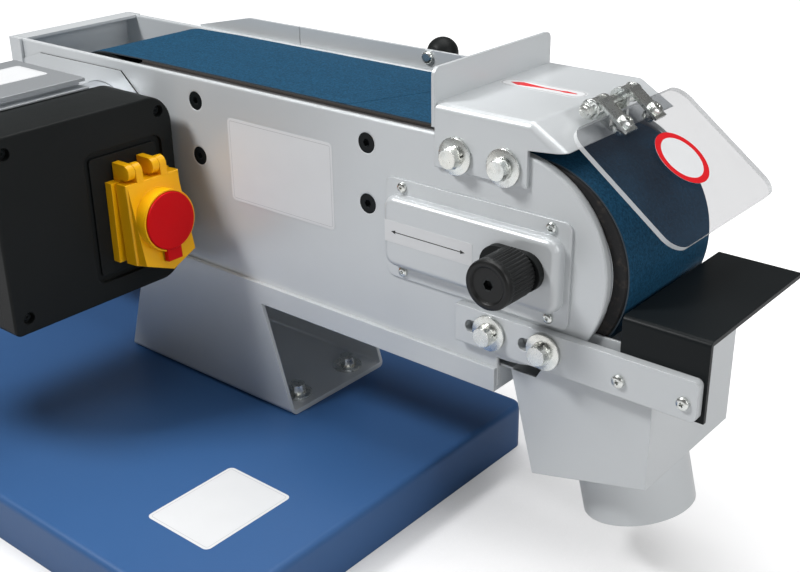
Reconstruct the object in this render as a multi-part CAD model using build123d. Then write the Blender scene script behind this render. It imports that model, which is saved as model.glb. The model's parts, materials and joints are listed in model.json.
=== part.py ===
"""Bench belt grinder: a 100 mm abrasive belt over a drive drum, a flat platen and a contact wheel."""

from build123d import *

import math
import os

# Frame: X runs from the rear to the contact wheel, Y from the motor side to the far side, Z up.
# Places are drawn from the centre of the base on the bench plane, in millimetres.
# The finished pieces then move so that the origin is the middle of the machine's footprint.

# Base pan
BASE_LENGTH = 445.0
BASE_WIDTH = 337.0
BASE_HEIGHT = 38.0
BASE_SHEET = 2.5
BASE_LIP = 25.0
BASE_EDGE_RADIUS = 5.0
BASE_CORNER_RADIUS = 10.0

# Body: two side plates on a floor tray
BODY_NEAR = 40.5
BODY_INNER_WIDTH = 116.0
BODY_REAR = -220.0
WALL = 3.0
PLATE_TOP = 290.0
NOSE_X = 291.0
NOSE_RADIUS = 70.0
NOSE_RIM = 3.0
SILL_FRONT = 285.0
SILL_TOP = 142.5
FRAME_BOTTOM = 126.0
GUARD_SHEET = 2.5
GUARD_WRAP = 14.0
GUARD_WRAP_BOTTOM = 266.0
GUARD_FLANGE = 15.0
GUARD_BEND = 1.8

# Stand between base and body
STAND_SHEET = 3.0
STAND_WIDTH = 107.0
STAND_FOOT = 194.0
STAND_NECK = 138.0
STAND_BEND = 5.0
STAND_BOLT_X = 78.0
STAND_BOLT_SPREAD = 59.0

# Abrasive belt, drum, wheel and platen
BELT_LENGTH = 1220.0
BELT_WIDTH = 100.0
BELT_THICKNESS = 1.0
BELT_TOP = 293.0
BELT_EDGE_GAP = 4.5
BELT_RUNNING_GAP = 0.3
WHEEL_X = 306.5
WHEEL_Z = 221.5
DRUM_Z = 227.0
ROLLER_DIAMETER = 128.0
ROLLER_OVERHANG = 1.0
ROLLER_RIM = 7.0
ROLLER_WEB = 10.0
DRUM_HUB = 50.0
DRUM_HUB_LENGTH = 50.0
TYRE_THICKNESS = 9.0
TYRE_CHAMFER = 1.0
AXLE_DIAMETER = 20.0
AXLE_COLLAR = 26.0
AXLE_COLLAR_WIDTH = 4.0
WHEEL_HUB = 61.0
WHEEL_HUB_LENGTH = 86.0
WHEEL_BEARING_OUTER = 47.0
WHEEL_BEARING_WIDTH = 14.0
BEARING_CHAMFER = 0.8
PLATEN_REAR = -60.0
PLATEN_FRONT = 231.0
PLATEN_PLATE = 6.0
PLATEN_END_RADIUS = 3.0
PLATEN_PAD = 2.0
PAD_NEAR_MARGIN = 1.0
PLATEN_BRACKET_REAR = -15.0
PLATEN_BRACKET_FRONT = 200.0
PLATEN_BRACKET_BOTTOM = 214.0
PLATEN_SCREW_X = (9.7, 177.2)
PLATEN_SCREW_Z = (230.5, 272.7)
PLATEN_SCREW_HEAD = 14.0
PLATEN_SCREW_SOCKET = 5.0
PLATEN_SOCKET_DEPTH = 2.5

# Wheel carriage, tracking cover and knob
CARRIAGE_TRAVEL = 8.0
CARRIAGE_PLATE = 6.0
CARRIAGE_HEIGHT = 38.0
CARRIAGE_REAR = 244.0
CARRIAGE_NOSE = 17.0
SPRING_OUTER = 5.8
SPRING_ROD = 4.0
SPRING_SPREAD = 19.0
COVER_X = 266.0
COVER_Z = 219.7
COVER_LENGTH = 142.0
COVER_HEIGHT = 69.5
COVER_SHEET = 1.5
COVER_CORNER = 5.0
COVER_SCREW_X = 57.2
COVER_SCREW_Z = 29.6
BOSS_X = 265.3
BOSS_LENGTH = 135.1
BOSS_HEIGHT = 49.0
BOSS_DEPTH = 9.5
BOSS_CORNER = 9.0
BOSS_EDGE = 4.5
KNOB_BASE_LENGTH = 44.0
KNOB_BASE_HEIGHT = 25.0
KNOB_BASE_SHIFT = -4.2
KNOB_BASE_DEPTH = 5.0
KNOB_DIAMETER = 32.0
KNOB_LENGTH = 28.0
KNOB_CHAMFER = 2.0
KNOB_PLAIN_END = 5.0
KNOB_FLUTES = 32
KNOB_FLUTE_DEPTH = 0.8
KNOB_RECESS = 23.0
KNOB_RECESS_DEPTH = 1.5
SPINDLE_DIAMETER = 12.0
SPINDLE_STEM = 8.0
SPINDLE_SOCKET = 6.0
SPINDLE_SOCKET_DEPTH = 4.0
SPINDLE_GRIP = 12.0

# Hood and stop plate
HOOD_SHEET = 2.5
HOOD_REAR = 236.0
HOOD_BEND_X = 306.5
HOOD_LIP_X = 331.0
HOOD_TOP = 310.0
HOOD_LIP_Z = 295.5
HOOD_FLANGE_FRONT = 305.0
HOOD_FLANGE_BOTTOM = 269.5
HOOD_TONGUE_Z = 293.0
HOOD_EDGE_RADIUS = 5.0
HOOD_BEND_RADIUS = 6.0
HOOD_BOLT_X = (252.5, 288.6)
HOOD_BOLT_Z = 279.4
STOP_SHEET = 2.5
STOP_RISE = 21.5
STOP_BELT_GAP = 1.5
STOP_CORNER = 5.0

# Eye shield and its hinge
SHIELD_PIVOT_X = 322.0
SHIELD_PIVOT_Z = 312.0
SHIELD_TILT = 37.0
SHIELD_LENGTH = 91.0
SHIELD_WIDTH = 129.0
SHIELD_THICKNESS = 3.0
SHIELD_CORNER = 12.0
SHIELD_START = 10.0
SHIELD_LEVEL = 5.2
PIVOT_DIAMETER = 6.0
PIVOT_FLATS = 10.0
PIVOT_NUT = 5.0
PIVOT_TAIL = 3.0
STRAP_SPREAD = 35.0
STRAP_WIDTH = 12.0
STRAP_LENGTH = 26.0
STRAP_SHEET = 2.0
STRAP_EYE = 11.0
STRAP_SCREW = 19.5
EAR_SHEET = 3.0
EAR_RADIUS = 6.0
BRACKET_MARGIN = 2.0

# Work rest
ARM_REAR = 256.0
ARM_SETBACK = 2.0
ARM_HEIGHT = 26.0
ARM_THICKNESS = 6.0
ARM_Z = 169.5
ARM_CORNER = 4.0
ARM_BOLT_X = (283.0, 324.0)
ARM_TRAVEL = 15.0
SLIDE_GAP = 0.3
TABLE_BELT_GAP = 1.2
TABLE_LENGTH = 56.0
TABLE_TOP = 206.0
TABLE_SHEET = 3.0
TABLE_APRON_BOTTOM = 154.0
TABLE_BEND = 3.5
TABLE_SCREW_PLACES = (3.6, 45.4)
TABLE_SCREW_Z = 167.0

# Dust chute and spigot
CHUTE_SHEET = 1.5
CHUTE_SIDE_GAP = 1.5
CHUTE_WIDTH = 110.0
CHUTE_FLANGE_REAR = 268.0
CHUTE_REAR_X = 293.0
CHUTE_HEEL_X = 312.0
CHUTE_HEEL_Z = 71.0
CHUTE_FRONT_X = 394.0
CHUTE_TOE_Z = 92.0
CHUTE_SIDE_TOP = 186.0
CHUTE_SIDE_REAR = 336.0
CHUTE_FRONT_TOP = 200.0
SPIGOT_DIAMETER = 75.0
SPIGOT_WALL = 1.6
SPIGOT_LENGTH = 40.0

# Far side: fixed fence and hinged access door
DOOR_SHEET = 2.0
FENCE_REAR = -121.0
FENCE_SLOPE_END = -59.0
FENCE_SEAM = -1.0
FENCE_FRONT = 230.0
FENCE_TOP = 304.5
FENCE_LOW = 291.5
FENCE_BOTTOM = 262.0
DOOR_BOTTOM = 158.0
DOOR_SEAM_GAP = 0.6
DOOR_WINDOW_INSET = 16.0
DOOR_HINGE_X = (30.0, 170.0)
DOOR_HINGE_LENGTH = 36.0
DOOR_PIN = 4.0
DOOR_EYE = 8.0
BRACKET_LEAF = 1.5
BALL_DIAMETER = 24.0
BALL_NECK = 12.0
BALL_X = 131.5
BALL_Z = 299.0
BALL_STANDOFF = 15.0
BALL_THREAD = 12.0

# Motor
MOUNT_PLATE = 3.0
MOUNT_REAR = -190.0
MOUNT_FRONT = -64.0
MOUNT_TOP = 282.0
MOUNT_BOTTOM = 170.0
MOUNT_CHAMFER = 24.0
MOTOR_RADIUS = 58.0
MOTOR_LENGTH = 130.0
MOTOR_BELL_LENGTH = 40.0
MOTOR_BELL_RADIUS = 43.0
MOTOR_BEARING_INSET = 8.0
MOTOR_FLAT_TOP = 286.5
MOTOR_FLAT_SHEET = 2.5
MOTOR_FLAT_GAP = 4.0
MOTOR_FLAT_REAR = -158.0
MOTOR_FLAT_FRONT = -67.0
MOTOR_NECK_INSET = 8.0
MOTOR_LIP_SHEET = 1.5
MOTOR_LIP_STEP = 4.0
MOTOR_REAR_BELL = 12.0
MOTOR_FIN_DEPTH = 6.0
MOTOR_FIN_SLOT = 5.0
MOTOR_FIN_PITCH = 10.0
MOTOR_FIN_START = 195.0
MOTOR_FIN_COUNT = 13
FAN_COVER_LENGTH = 36.0
FAN_COVER_WALL = 1.5
FAN_COVER_EDGE = 6.0
FAN_SLOTS = 12
FAN_SLOT_WIDTH = 5.0
FAN_SLOT_INNER = 18.0
FAN_SLOT_OUTER = 46.0
FAN_RADIUS = 48.0
FAN_HUB = 17.5
FAN_BLADES = 7
FAN_BLADE = 2.4
FAN_DISC = 2.0
FAN_WIDTH = 18.0
FAN_GAP = 6.0
SHAFT_DIAMETER = 25.0
SHAFT_CLEARANCE = 1.0
ROTOR_RADIUS = 34.0
ROTOR_LENGTH = 80.0
ROTOR_AIR_GAP = 0.6
MOTOR_BEARING_OUTER = 52.0
MOTOR_BEARING_WIDTH = 15.0

# Switch box and switch
BOX_REAR = -65.5
BOX_SPLIT = -24.0
BOX_FRONT = -10.0
BOX_NEAR = -121.5
BOX_FAR = 32.5
BOX_BOTTOM = 134.0
BOX_TOP = 278.0
BOX_WALL = 3.0
BOX_NEAR_CORNER = 5.0
BOX_FAR_CORNER = 22.0
BOX_EDGE = 2.0
BOX_FACE_WALL = 6.0
BOX_POST = 7.0
BOX_SCREW_INSET = 12.0
BOX_SCREW_POCKET = 9.0
BOX_SCREW_SINK = 5.0
BOX_SCREW_GRIP = 8.0
PANEL_Y = -14.0
PANEL_Z = 199.5
PANEL_WIDTH = 70.0
PANEL_HEIGHT = 100.0
PANEL_RECESS = 3.0
PANEL_SHEET = 2.0
PANEL_MARGIN = 5.0
PANEL_CORNER = 8.0
SWITCH_Y = -6.0
SWITCH_Z = 194.5
SWITCH_WIDTH = 53.0
SWITCH_HEIGHT = 61.0
SWITCH_DEPTH = 6.0
SWITCH_RIM = 6.0
CORE_SINK = 3.0
LID_WIDTH = 49.0
LID_DEPTH = 12.0
LID_WALL = 2.0
LID_EDGE = 1.2
LID_BEAK = 9.5
LID_STEP = 1.5
LID_SWELL = 11.0
LID_BOSS = 6.5
LID_SHIFT = 1.0
LID_AJAR = 3.5
HINGE_Z = 232.5
LUG_WIDTH = 6.0
LUG_RADIUS = 6.0
LUG_INSET = 4.3
LUG_PITCH = 22.0
LUG_PIN = 4.0
STOP_RING = 46.0
STOP_RING_DEPTH = 7.2
STOP_DISC = 43.0
STOP_DISC_DEPTH = 5.0
STOP_DISC_EDGE = 0.8
STOP_TRAVEL = 3.5
STOP_STEM = 14.0
STOP_KEEPER = 18.0
STOP_KEEPER_DEPTH = 1.5
STOP_TAB_WIDTH = 13.0
STOP_TAB_DEPTH = 4.0
STOP_TAB_DROP = 30.0
BUTTON_WIDTH = 17.0
BUTTON_HEIGHT = 19.0
BUTTON_PITCH = 22.0
BUTTON_TRAVEL = 3.0
BUTTON_PROUD = 7.0
BUTTON_ROOT = 5.0
BUTTON_EDGE = 1.5

# Fasteners and fits
M8 = 8.0
M8_FLATS = 13.0
M8_HEAD = 5.3
M8_NUT = 6.5
M8_WASHER = 24.0
M8_WASHER_THICKNESS = 2.0
M8_LOCK_WASHER = 14.2
M8_LOCK_THICKNESS = 2.0
M5 = 5.0
M5_HEAD = 9.5
M5_HEAD_HEIGHT = 3.2
M5_FLATS = 8.0
M5_NUT = 3.0
M4 = 4.0
M4_HEAD = 7.0
M4_HEAD_HEIGHT = 2.2
HEAD_ROUND = 0.6
HOLE_CLEARANCE = 0.1
RUNNING_FIT = 0.05

# Places that follow from the sizes above
NEAR_IN = BODY_NEAR + WALL
FAR_IN = NEAR_IN + BODY_INNER_WIDTH
FAR_OUT = FAR_IN + WALL
BODY_MID = (BODY_NEAR + FAR_OUT) / 2
FLOOR_TOP = FRAME_BOTTOM + STAND_SHEET
BELT_NEAR = NEAR_IN + BELT_EDGE_GAP
BELT_FAR = BELT_NEAR + BELT_WIDTH
BELT_MID = (BELT_NEAR + BELT_FAR) / 2
ROLLER_RADIUS = ROLLER_DIAMETER / 2
ROLLER_NEAR = BELT_NEAR - ROLLER_OVERHANG
ROLLER_WIDTH = BELT_WIDTH + 2 * ROLLER_OVERHANG
PAD_TOP = BELT_TOP - BELT_THICKNESS
PLATEN_TOP = PAD_TOP - PLATEN_PAD
AXIS_DISTANCE = (BELT_LENGTH - math.pi * (ROLLER_DIAMETER + BELT_THICKNESS)) / 2
DRUM_X = WHEEL_X - math.sqrt(AXIS_DISTANCE**2 - (DRUM_Z - WHEEL_Z) ** 2)
NOSE_Z = PLATE_TOP - NOSE_RADIUS
STAND_NEAR = BODY_NEAR - STAND_SHEET
STAND_FAR = STAND_NEAR + STAND_WIDTH
STAND_MID = (STAND_NEAR + STAND_FAR) / 2
MOTOR_FAR = BODY_NEAR - MOTOR_BELL_LENGTH
MOTOR_NEAR = MOTOR_FAR - MOTOR_LENGTH
REAR_BELL_NEAR = MOTOR_NEAR - MOTOR_REAR_BELL
FRONT_BEARING_NEAR = BODY_NEAR - MOTOR_BEARING_INSET - MOTOR_BEARING_WIDTH
FAN_COVER_NEAR = REAR_BELL_NEAR - FAN_COVER_LENGTH
FAN_NEAR = REAR_BELL_NEAR - FAN_GAP - FAN_WIDTH
HOOD_NEAR = BODY_NEAR - HOOD_SHEET
HOOD_FAR = FAR_OUT + HOOD_SHEET
STOP_TOP = HOOD_TOP + STOP_RISE
ARM_NEAR = BODY_NEAR - SLIDE_GAP - ARM_THICKNESS
TABLE_NEAR = ARM_NEAR + ARM_THICKNESS
TABLE_FAR = FAR_OUT + SLIDE_GAP
TABLE_REAR = WHEEL_X + ROLLER_RADIUS + BELT_RUNNING_GAP + BELT_THICKNESS + TABLE_BELT_GAP
TABLE_FRONT = TABLE_REAR + TABLE_LENGTH
ARM_FRONT = TABLE_FRONT - ARM_SETBACK
COVER_NEAR = BODY_NEAR - COVER_SHEET
BOSS_NEAR = BODY_NEAR - BOSS_DEPTH
BOSS_INNER_REAR = BOSS_X - BOSS_LENGTH / 2 + COVER_SHEET
CARRIAGE_NEAR = BODY_NEAR - SLIDE_GAP - CARRIAGE_PLATE
CARRIAGE_MID = CARRIAGE_NEAR + CARRIAGE_PLATE / 2
WHEEL_HUB_NEAR = BELT_MID - WHEEL_HUB_LENGTH / 2
WHEEL_HUB_FAR = BELT_MID + WHEEL_HUB_LENGTH / 2
KNOB_BASE_NEAR = BOSS_NEAR - SLIDE_GAP - KNOB_BASE_DEPTH
KNOB_FAR = KNOB_BASE_NEAR - SLIDE_GAP
KNOB_NEAR = KNOB_FAR - KNOB_LENGTH
CHUTE_NEAR = NEAR_IN + CHUTE_SIDE_GAP
CHUTE_FAR = CHUTE_NEAR + CHUTE_WIDTH
CHUTE_MID = (CHUTE_NEAR + CHUTE_FAR) / 2
DOOR_NEAR = FAR_OUT + SLIDE_GAP
DOOR_FAR = DOOR_NEAR + DOOR_SHEET
DOOR_REAR = FENCE_SEAM + DOOR_SEAM_GAP
DOOR_HINGE_Y = DOOR_NEAR + DOOR_EYE / 2
PANEL_BACK = BOX_FRONT - PANEL_RECESS
SWITCH_FACE = BOX_FRONT + SWITCH_DEPTH
SWITCH_TOP = SWITCH_Z + SWITCH_HEIGHT / 2
SWITCH_BOTTOM = SWITCH_Z - SWITCH_HEIGHT / 2
CORE_FACE = SWITCH_FACE - CORE_SINK
LID_Y = SWITCH_Y + LID_SHIFT
LID_BACK = SWITCH_FACE + SLIDE_GAP
LID_FRONT = LID_BACK + LID_DEPTH
HINGE_X = LID_BACK + LUG_RADIUS
LID_BOSS_FACE = LID_FRONT + LID_BOSS
STOP_BACK = LID_BOSS_FACE + STOP_TRAVEL + SLIDE_GAP
FOOTPRINT_REAR = min(BODY_REAR - GUARD_SHEET, -BASE_LENGTH / 2)
FOOTPRINT_FAR = DOOR_FAR + BALL_STANDOFF + BALL_DIAMETER / 2
FOOTPRINT_X = (FOOTPRINT_REAR + TABLE_FRONT) / 2
FOOTPRINT_Y = (FAN_COVER_NEAR + FOOTPRINT_FAR) / 2

# Turns a fastener, drawn with its head up, towards one side of the machine.
TO_NEAR = Rot(90, 0, 0)
TO_FRONT = Rot(0, 90, 0)


def side_plate(profile, y, thickness):
    """Extrudes a profile drawn in X and Z from y towards the far side."""
    plane = Plane(origin=(0, y + thickness, 0), x_dir=(1, 0, 0), z_dir=(0, -1, 0))
    return extrude(plane * profile, thickness)


def front_plate(profile, x, thickness):
    """Extrudes a profile drawn in Y and Z from x towards the front."""
    plane = Plane(origin=(x, 0, 0), x_dir=(0, 1, 0), z_dir=(1, 0, 0))
    return extrude(plane * profile, thickness)


def rod_y(x, z, y, radius, length):
    return side_plate(Pos(x, z) * Circle(radius), y, length)


def rod_x(y, z, x, radius, length):
    return front_plate(Pos(y, z) * Circle(radius), x, length)


def block(x0, x1, y0, y1, z0, z1):
    return Pos(x0, y0, z0) * Box(x1 - x0, y1 - y0, z1 - z0, align=(Align.MIN, Align.MIN, Align.MIN))


def outline(*points):
    return make_face(Polyline(*points, close=True))


def rectangle(x0, x1, z0, z1):
    return Pos((x0 + x1) / 2, (z0 + z1) / 2) * Rectangle(x1 - x0, z1 - z0)


def holes(places, radius):
    return [Pos(x, z) * Circle(radius) for x, z in places]


def inset_line(points, thickness):
    """Points of the line that runs beside a polyline, on its left."""
    directions = [(Vector(*b) - Vector(*a)).normalized() for a, b in zip(points, points[1:])]
    normals = [Vector(-d.Y, d.X) for d in directions]
    line = [Vector(*points[0]) + normals[0] * thickness]
    for point, before, after in zip(points[1:-1], normals, normals[1:]):
        line.append(Vector(*point) + (before + after) * (thickness / (1 + before.dot(after))))
    line.append(Vector(*points[-1]) + normals[-1] * thickness)
    return [(p.X, p.Y) for p in line]


def folded_sheet(points, thickness):
    return outline(*points, *reversed(inset_line(points, thickness)))


def hexagon(flats):
    return RegularPolygon(flats / 2, 6, major_radius=False)


def pan_screw(diameter, length, head, head_height):
    """Pan-head screw seated at the origin: the shank runs down from there."""
    shank = Pos(0, 0, -length) * extrude(Circle(diameter / 2), length)
    cap = extrude(Circle(head / 2), head_height)
    return shank + fillet(cap.edges().group_by(Axis.Z)[-1], head_height * HEAD_ROUND)


def hex_bolt(length):
    """M8 bolt on a plain and a lock washer, seated at the origin: the shank runs down from there."""
    bolt = Pos(0, 0, -length) * extrude(Circle(M8 / 2), length)
    bolt += extrude(Circle(M8_WASHER / 2), M8_WASHER_THICKNESS)
    bolt += Pos(0, 0, M8_WASHER_THICKNESS) * extrude(Circle(M8_LOCK_WASHER / 2), M8_LOCK_THICKNESS)
    return bolt + Pos(0, 0, M8_WASHER_THICKNESS + M8_LOCK_THICKNESS) * extrude(hexagon(M8_FLATS), M8_HEAD)


def stand_bolt_places():
    half = STAND_BOLT_SPREAD / 2
    return [(x, STAND_MID + y) for x in (-STAND_BOLT_X, STAND_BOLT_X) for y in (-half, half)]


def stand_bolt_holes():
    hole = extrude(Circle(M8 / 2 + HOLE_CLEARANCE), BASE_SHEET + STAND_SHEET)
    return [Pos(x, y, BASE_HEIGHT - BASE_SHEET) * hole for x, y in stand_bolt_places()]


def base_pan():
    pan = extrude(RectangleRounded(BASE_LENGTH, BASE_WIDTH, BASE_CORNER_RADIUS), BASE_HEIGHT)
    pan = fillet(pan.edges().group_by(Axis.Z)[-1], BASE_EDGE_RADIUS)
    hollow = RectangleRounded(
        BASE_LENGTH - 2 * BASE_SHEET,
        BASE_WIDTH - 2 * BASE_SHEET,
        BASE_CORNER_RADIUS - BASE_SHEET,
    )
    pan -= Pos(0, 0, BASE_SHEET) * extrude(hollow, BASE_HEIGHT - 2 * BASE_SHEET)
    pan -= extrude(Rectangle(BASE_LENGTH - 2 * BASE_LIP, BASE_WIDTH - 2 * BASE_LIP), BASE_SHEET)
    return pan - stand_bolt_holes()


def stand():
    channel = outline(
        (STAND_NEAR, BASE_HEIGHT),
        (STAND_FAR, BASE_HEIGHT),
        (STAND_FAR, FRAME_BOTTOM),
        (STAND_FAR - STAND_SHEET, FRAME_BOTTOM),
        (STAND_FAR - STAND_SHEET, BASE_HEIGHT + STAND_SHEET),
        (STAND_NEAR + STAND_SHEET, BASE_HEIGHT + STAND_SHEET),
        (STAND_NEAR + STAND_SHEET, SILL_TOP),
        (STAND_NEAR, SILL_TOP),
    )
    channel = fillet(channel.vertices().group_by(Axis.Y)[1], STAND_BEND - STAND_SHEET)
    channel = fillet(channel.vertices().group_by(Axis.Y)[0], STAND_BEND)
    wall = outline(
        (-STAND_FOOT / 2, BASE_HEIGHT),
        (STAND_FOOT / 2, BASE_HEIGHT),
        (STAND_NECK / 2, FRAME_BOTTOM),
        (SILL_FRONT, FRAME_BOTTOM),
        (SILL_FRONT, SILL_TOP),
        (BODY_REAR, SILL_TOP),
        (BODY_REAR, FRAME_BOTTOM),
        (-STAND_NECK / 2, FRAME_BOTTOM),
    )
    sheet = front_plate(channel, BODY_REAR, SILL_FRONT - BODY_REAR)
    return (sheet & side_plate(wall, STAND_NEAR, STAND_WIDTH)) - stand_bolt_holes()


def stand_bolts():
    grip = BASE_SHEET + STAND_SHEET
    bolt = hex_bolt(grip + M8_NUT) + Pos(0, 0, -grip - M8_NUT) * extrude(hexagon(M8_FLATS), M8_NUT)
    return [Pos(x, y, BASE_HEIGHT + STAND_SHEET) * bolt for x, y in stand_bolt_places()]


def floor_tray():
    far_edge = FAR_OUT + STAND_SHEET
    tray = block(BODY_REAR, SILL_FRONT, BODY_NEAR, far_edge, FRAME_BOTTOM, FLOOR_TOP)
    tray += block(BODY_REAR, SILL_FRONT, FAR_OUT, far_edge, FLOOR_TOP, SILL_TOP)
    for x in (BODY_REAR, SILL_FRONT - STAND_SHEET):
        tray += block(x, x + STAND_SHEET, NEAR_IN, FAR_IN, FLOOR_TOP, SILL_TOP)
    return tray


def body_outline():
    upper = rectangle(BODY_REAR, NOSE_X, PLATE_TOP - 2 * NOSE_RADIUS, PLATE_TOP)
    lower = rectangle(BODY_REAR, SILL_FRONT, FLOOR_TOP, PLATE_TOP - 2 * NOSE_RADIUS)
    return upper + lower + Pos(NOSE_X, NOSE_Z) * Circle(NOSE_RADIUS)


def arm_bolt_places():
    return [(x, ARM_Z) for x in ARM_BOLT_X]


def hood_bolt_places():
    return [(x, HOOD_BOLT_Z) for x in HOOD_BOLT_X]


def platen_screw_places():
    return [(x, z) for x in PLATEN_SCREW_X for z in PLATEN_SCREW_Z]


def cover_screw_places():
    rows = (COVER_Z - COVER_SCREW_Z, COVER_Z + COVER_SCREW_Z)
    return [(x, z) for x in (COVER_X - COVER_SCREW_X, COVER_X + COVER_SCREW_X) for z in rows]


def nose_rim():
    """Edge turned in round a side plate's nose, down to the top of the chute's sides."""
    ring = Pos(NOSE_X, NOSE_Z) * (Circle(NOSE_RADIUS) - Circle(NOSE_RADIUS - WALL))
    return ring & rectangle(NOSE_X, NOSE_X + NOSE_RADIUS, CHUTE_SIDE_TOP + SLIDE_GAP, PLATE_TOP)


def near_side_plate():
    profile = body_outline() - Pos(DRUM_X, DRUM_Z) * Circle(MOTOR_BEARING_OUTER / 2)
    slot = SlotCenterToCenter(CARRIAGE_TRAVEL, AXLE_DIAMETER + 2 * HOLE_CLEARANCE)
    profile -= Pos(WHEEL_X - CARRIAGE_TRAVEL / 2, WHEEL_Z) * slot
    profile -= holes(hood_bolt_places() + arm_bolt_places(), M8 / 2 + HOLE_CLEARANCE)
    profile -= holes(cover_screw_places(), M4 / 2 + HOLE_CLEARANCE)
    sinks = [Pos(x, BODY_NEAR, z) * TO_NEAR * countersunk(HOLE_CLEARANCE) for x, z in platen_screw_places()]
    return side_plate(profile, BODY_NEAR, WALL) + side_plate(nose_rim(), NEAR_IN, NOSE_RIM) - sinks


def far_side_plate():
    window = rectangle(
        DOOR_REAR + DOOR_WINDOW_INSET,
        FENCE_FRONT - DOOR_WINDOW_INSET,
        DOOR_BOTTOM + DOOR_WINDOW_INSET,
        PLATE_TOP - DOOR_WINDOW_INSET,
    )
    plate = side_plate(body_outline() - fillet(window.vertices(), DOOR_WINDOW_INSET), FAR_IN, WALL)
    return plate + side_plate(nose_rim(), FAR_IN - NOSE_RIM, NOSE_RIM)


def rear_guard():
    near = BODY_NEAR - GUARD_SHEET
    far = FAR_OUT + GUARD_SHEET
    guard = block(BODY_REAR - GUARD_SHEET, BODY_REAR, near, far, SILL_TOP, PLATE_TOP)
    for y in (near, FAR_OUT):
        guard += block(BODY_REAR, BODY_REAR + GUARD_WRAP, y, y + GUARD_SHEET, GUARD_WRAP_BOTTOM, PLATE_TOP)
    flange_near = NEAR_IN + SLIDE_GAP
    flange_far = FAR_IN - SLIDE_GAP
    flange_bottom = PLATE_TOP - GUARD_SHEET
    guard += block(BODY_REAR, BODY_REAR + GUARD_FLANGE, flange_near, flange_far, flange_bottom, PLATE_TOP)
    return fillet(guard.edges().filter_by(Axis.Z).group_by(Axis.X)[0], GUARD_BEND)


def countersunk(clearance):
    """Countersunk M8 screw, or its hole, with the head's face at the origin."""
    depth = (PLATEN_SCREW_HEAD - M8) / 2
    length = WALL + PLATEN_PLATE
    head = Cone(M8 / 2 + clearance, PLATEN_SCREW_HEAD / 2 + clearance, depth)
    shank = Cylinder(M8 / 2 + clearance, length)
    return Pos(0, 0, -depth / 2) * head + Pos(0, 0, -length / 2) * shank


def platen_screws():
    socket = extrude(hexagon(PLATEN_SCREW_SOCKET), PLATEN_SOCKET_DEPTH)
    pin = countersunk(0) - Pos(0, 0, -PLATEN_SOCKET_DEPTH) * socket
    return [Pos(x, BODY_NEAR, z) * TO_NEAR * pin for x, z in platen_screw_places()]


def platen():
    plate_bottom = PLATEN_TOP - PLATEN_PLATE
    top = block(PLATEN_REAR, PLATEN_FRONT, NEAR_IN, BELT_FAR, plate_bottom, PLATEN_TOP)
    top = fillet(top.edges().filter_by(Axis.Y).group_by(Axis.Z)[-1], PLATEN_END_RADIUS)
    web = rectangle(PLATEN_BRACKET_REAR, PLATEN_BRACKET_FRONT, PLATEN_BRACKET_BOTTOM, plate_bottom)
    web -= holes(platen_screw_places(), M8 / 2 + HOLE_CLEARANCE)
    return top + side_plate(web, NEAR_IN, PLATEN_PLATE)


def platen_pad():
    rear = PLATEN_REAR + PLATEN_END_RADIUS
    front = PLATEN_FRONT - PLATEN_END_RADIUS
    return block(rear, front, BELT_NEAR - PAD_NEAR_MARGIN, BELT_FAR, PLATEN_TOP, PAD_TOP)


def tangent_angle(center, radius, point, turn):
    """Angle on a circle where the line from the point touches it, on the chosen side."""
    dx = point[0] - center[0]
    dz = point[1] - center[1]
    return math.atan2(dz, dx) + turn * math.acos(radius / math.hypot(dx, dz))


def on_circle(center, radius, angle):
    return center[0] + radius * math.cos(angle), center[1] + radius * math.sin(angle)


def belt_face(offset, pad_level):
    """The area inside the belt's path round drum, platen and wheel."""
    drum = (DRUM_X, DRUM_Z)
    wheel = (WHEEL_X, WHEEL_Z)
    radius = ROLLER_RADIUS + offset
    rear = (PLATEN_REAR + PLATEN_END_RADIUS, pad_level)
    front = (PLATEN_FRONT - PLATEN_END_RADIUS, pad_level)
    drum_top = tangent_angle(drum, radius, rear, 1)
    wheel_top = tangent_angle(wheel, radius, front, -1)
    low = math.atan2(WHEEL_Z - DRUM_Z, WHEEL_X - DRUM_X) - math.pi / 2
    start = on_circle(drum, radius, drum_top)
    wheel_start = on_circle(wheel, radius, wheel_top)
    wheel_end = on_circle(wheel, radius, low)
    drum_start = on_circle(drum, radius, low)
    front_most = on_circle(wheel, radius, (wheel_top + low) / 2)
    rear_most = on_circle(drum, radius, (drum_top + low) / 2 + math.pi)
    path = [
        Polyline(start, rear, front, wheel_start),
        ThreePointArc(wheel_start, front_most, wheel_end),
        Line(wheel_end, drum_start),
        ThreePointArc(drum_start, rear_most, start),
    ]
    return make_face([edge for piece in path for edge in piece.edges()])


def abrasive_belt():
    outer = belt_face(BELT_RUNNING_GAP + BELT_THICKNESS, BELT_TOP)
    return side_plate(outer - belt_face(BELT_RUNNING_GAP, PAD_TOP), BELT_NEAR, BELT_WIDTH)


def roller_shell(x, z, radius, hub_radius, hub_length):
    """Roller open at both ends: a rim, a web at its middle and a hub."""
    shell = rod_y(x, z, ROLLER_NEAR, radius, ROLLER_WIDTH)
    shell -= rod_y(x, z, ROLLER_NEAR, radius - ROLLER_RIM, ROLLER_WIDTH)
    shell += rod_y(x, z, BELT_MID - ROLLER_WEB / 2, radius - ROLLER_RIM, ROLLER_WEB)
    return shell + rod_y(x, z, BELT_MID - hub_length / 2, hub_radius, hub_length)


def drive_drum():
    drum = roller_shell(DRUM_X, DRUM_Z, ROLLER_RADIUS, DRUM_HUB / 2, DRUM_HUB_LENGTH)
    return drum - rod_y(DRUM_X, DRUM_Z, ROLLER_NEAR, SHAFT_DIAMETER / 2, ROLLER_WIDTH)


def wheel_bearing_places():
    return WHEEL_HUB_NEAR, WHEEL_HUB_FAR - WHEEL_BEARING_WIDTH


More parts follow.
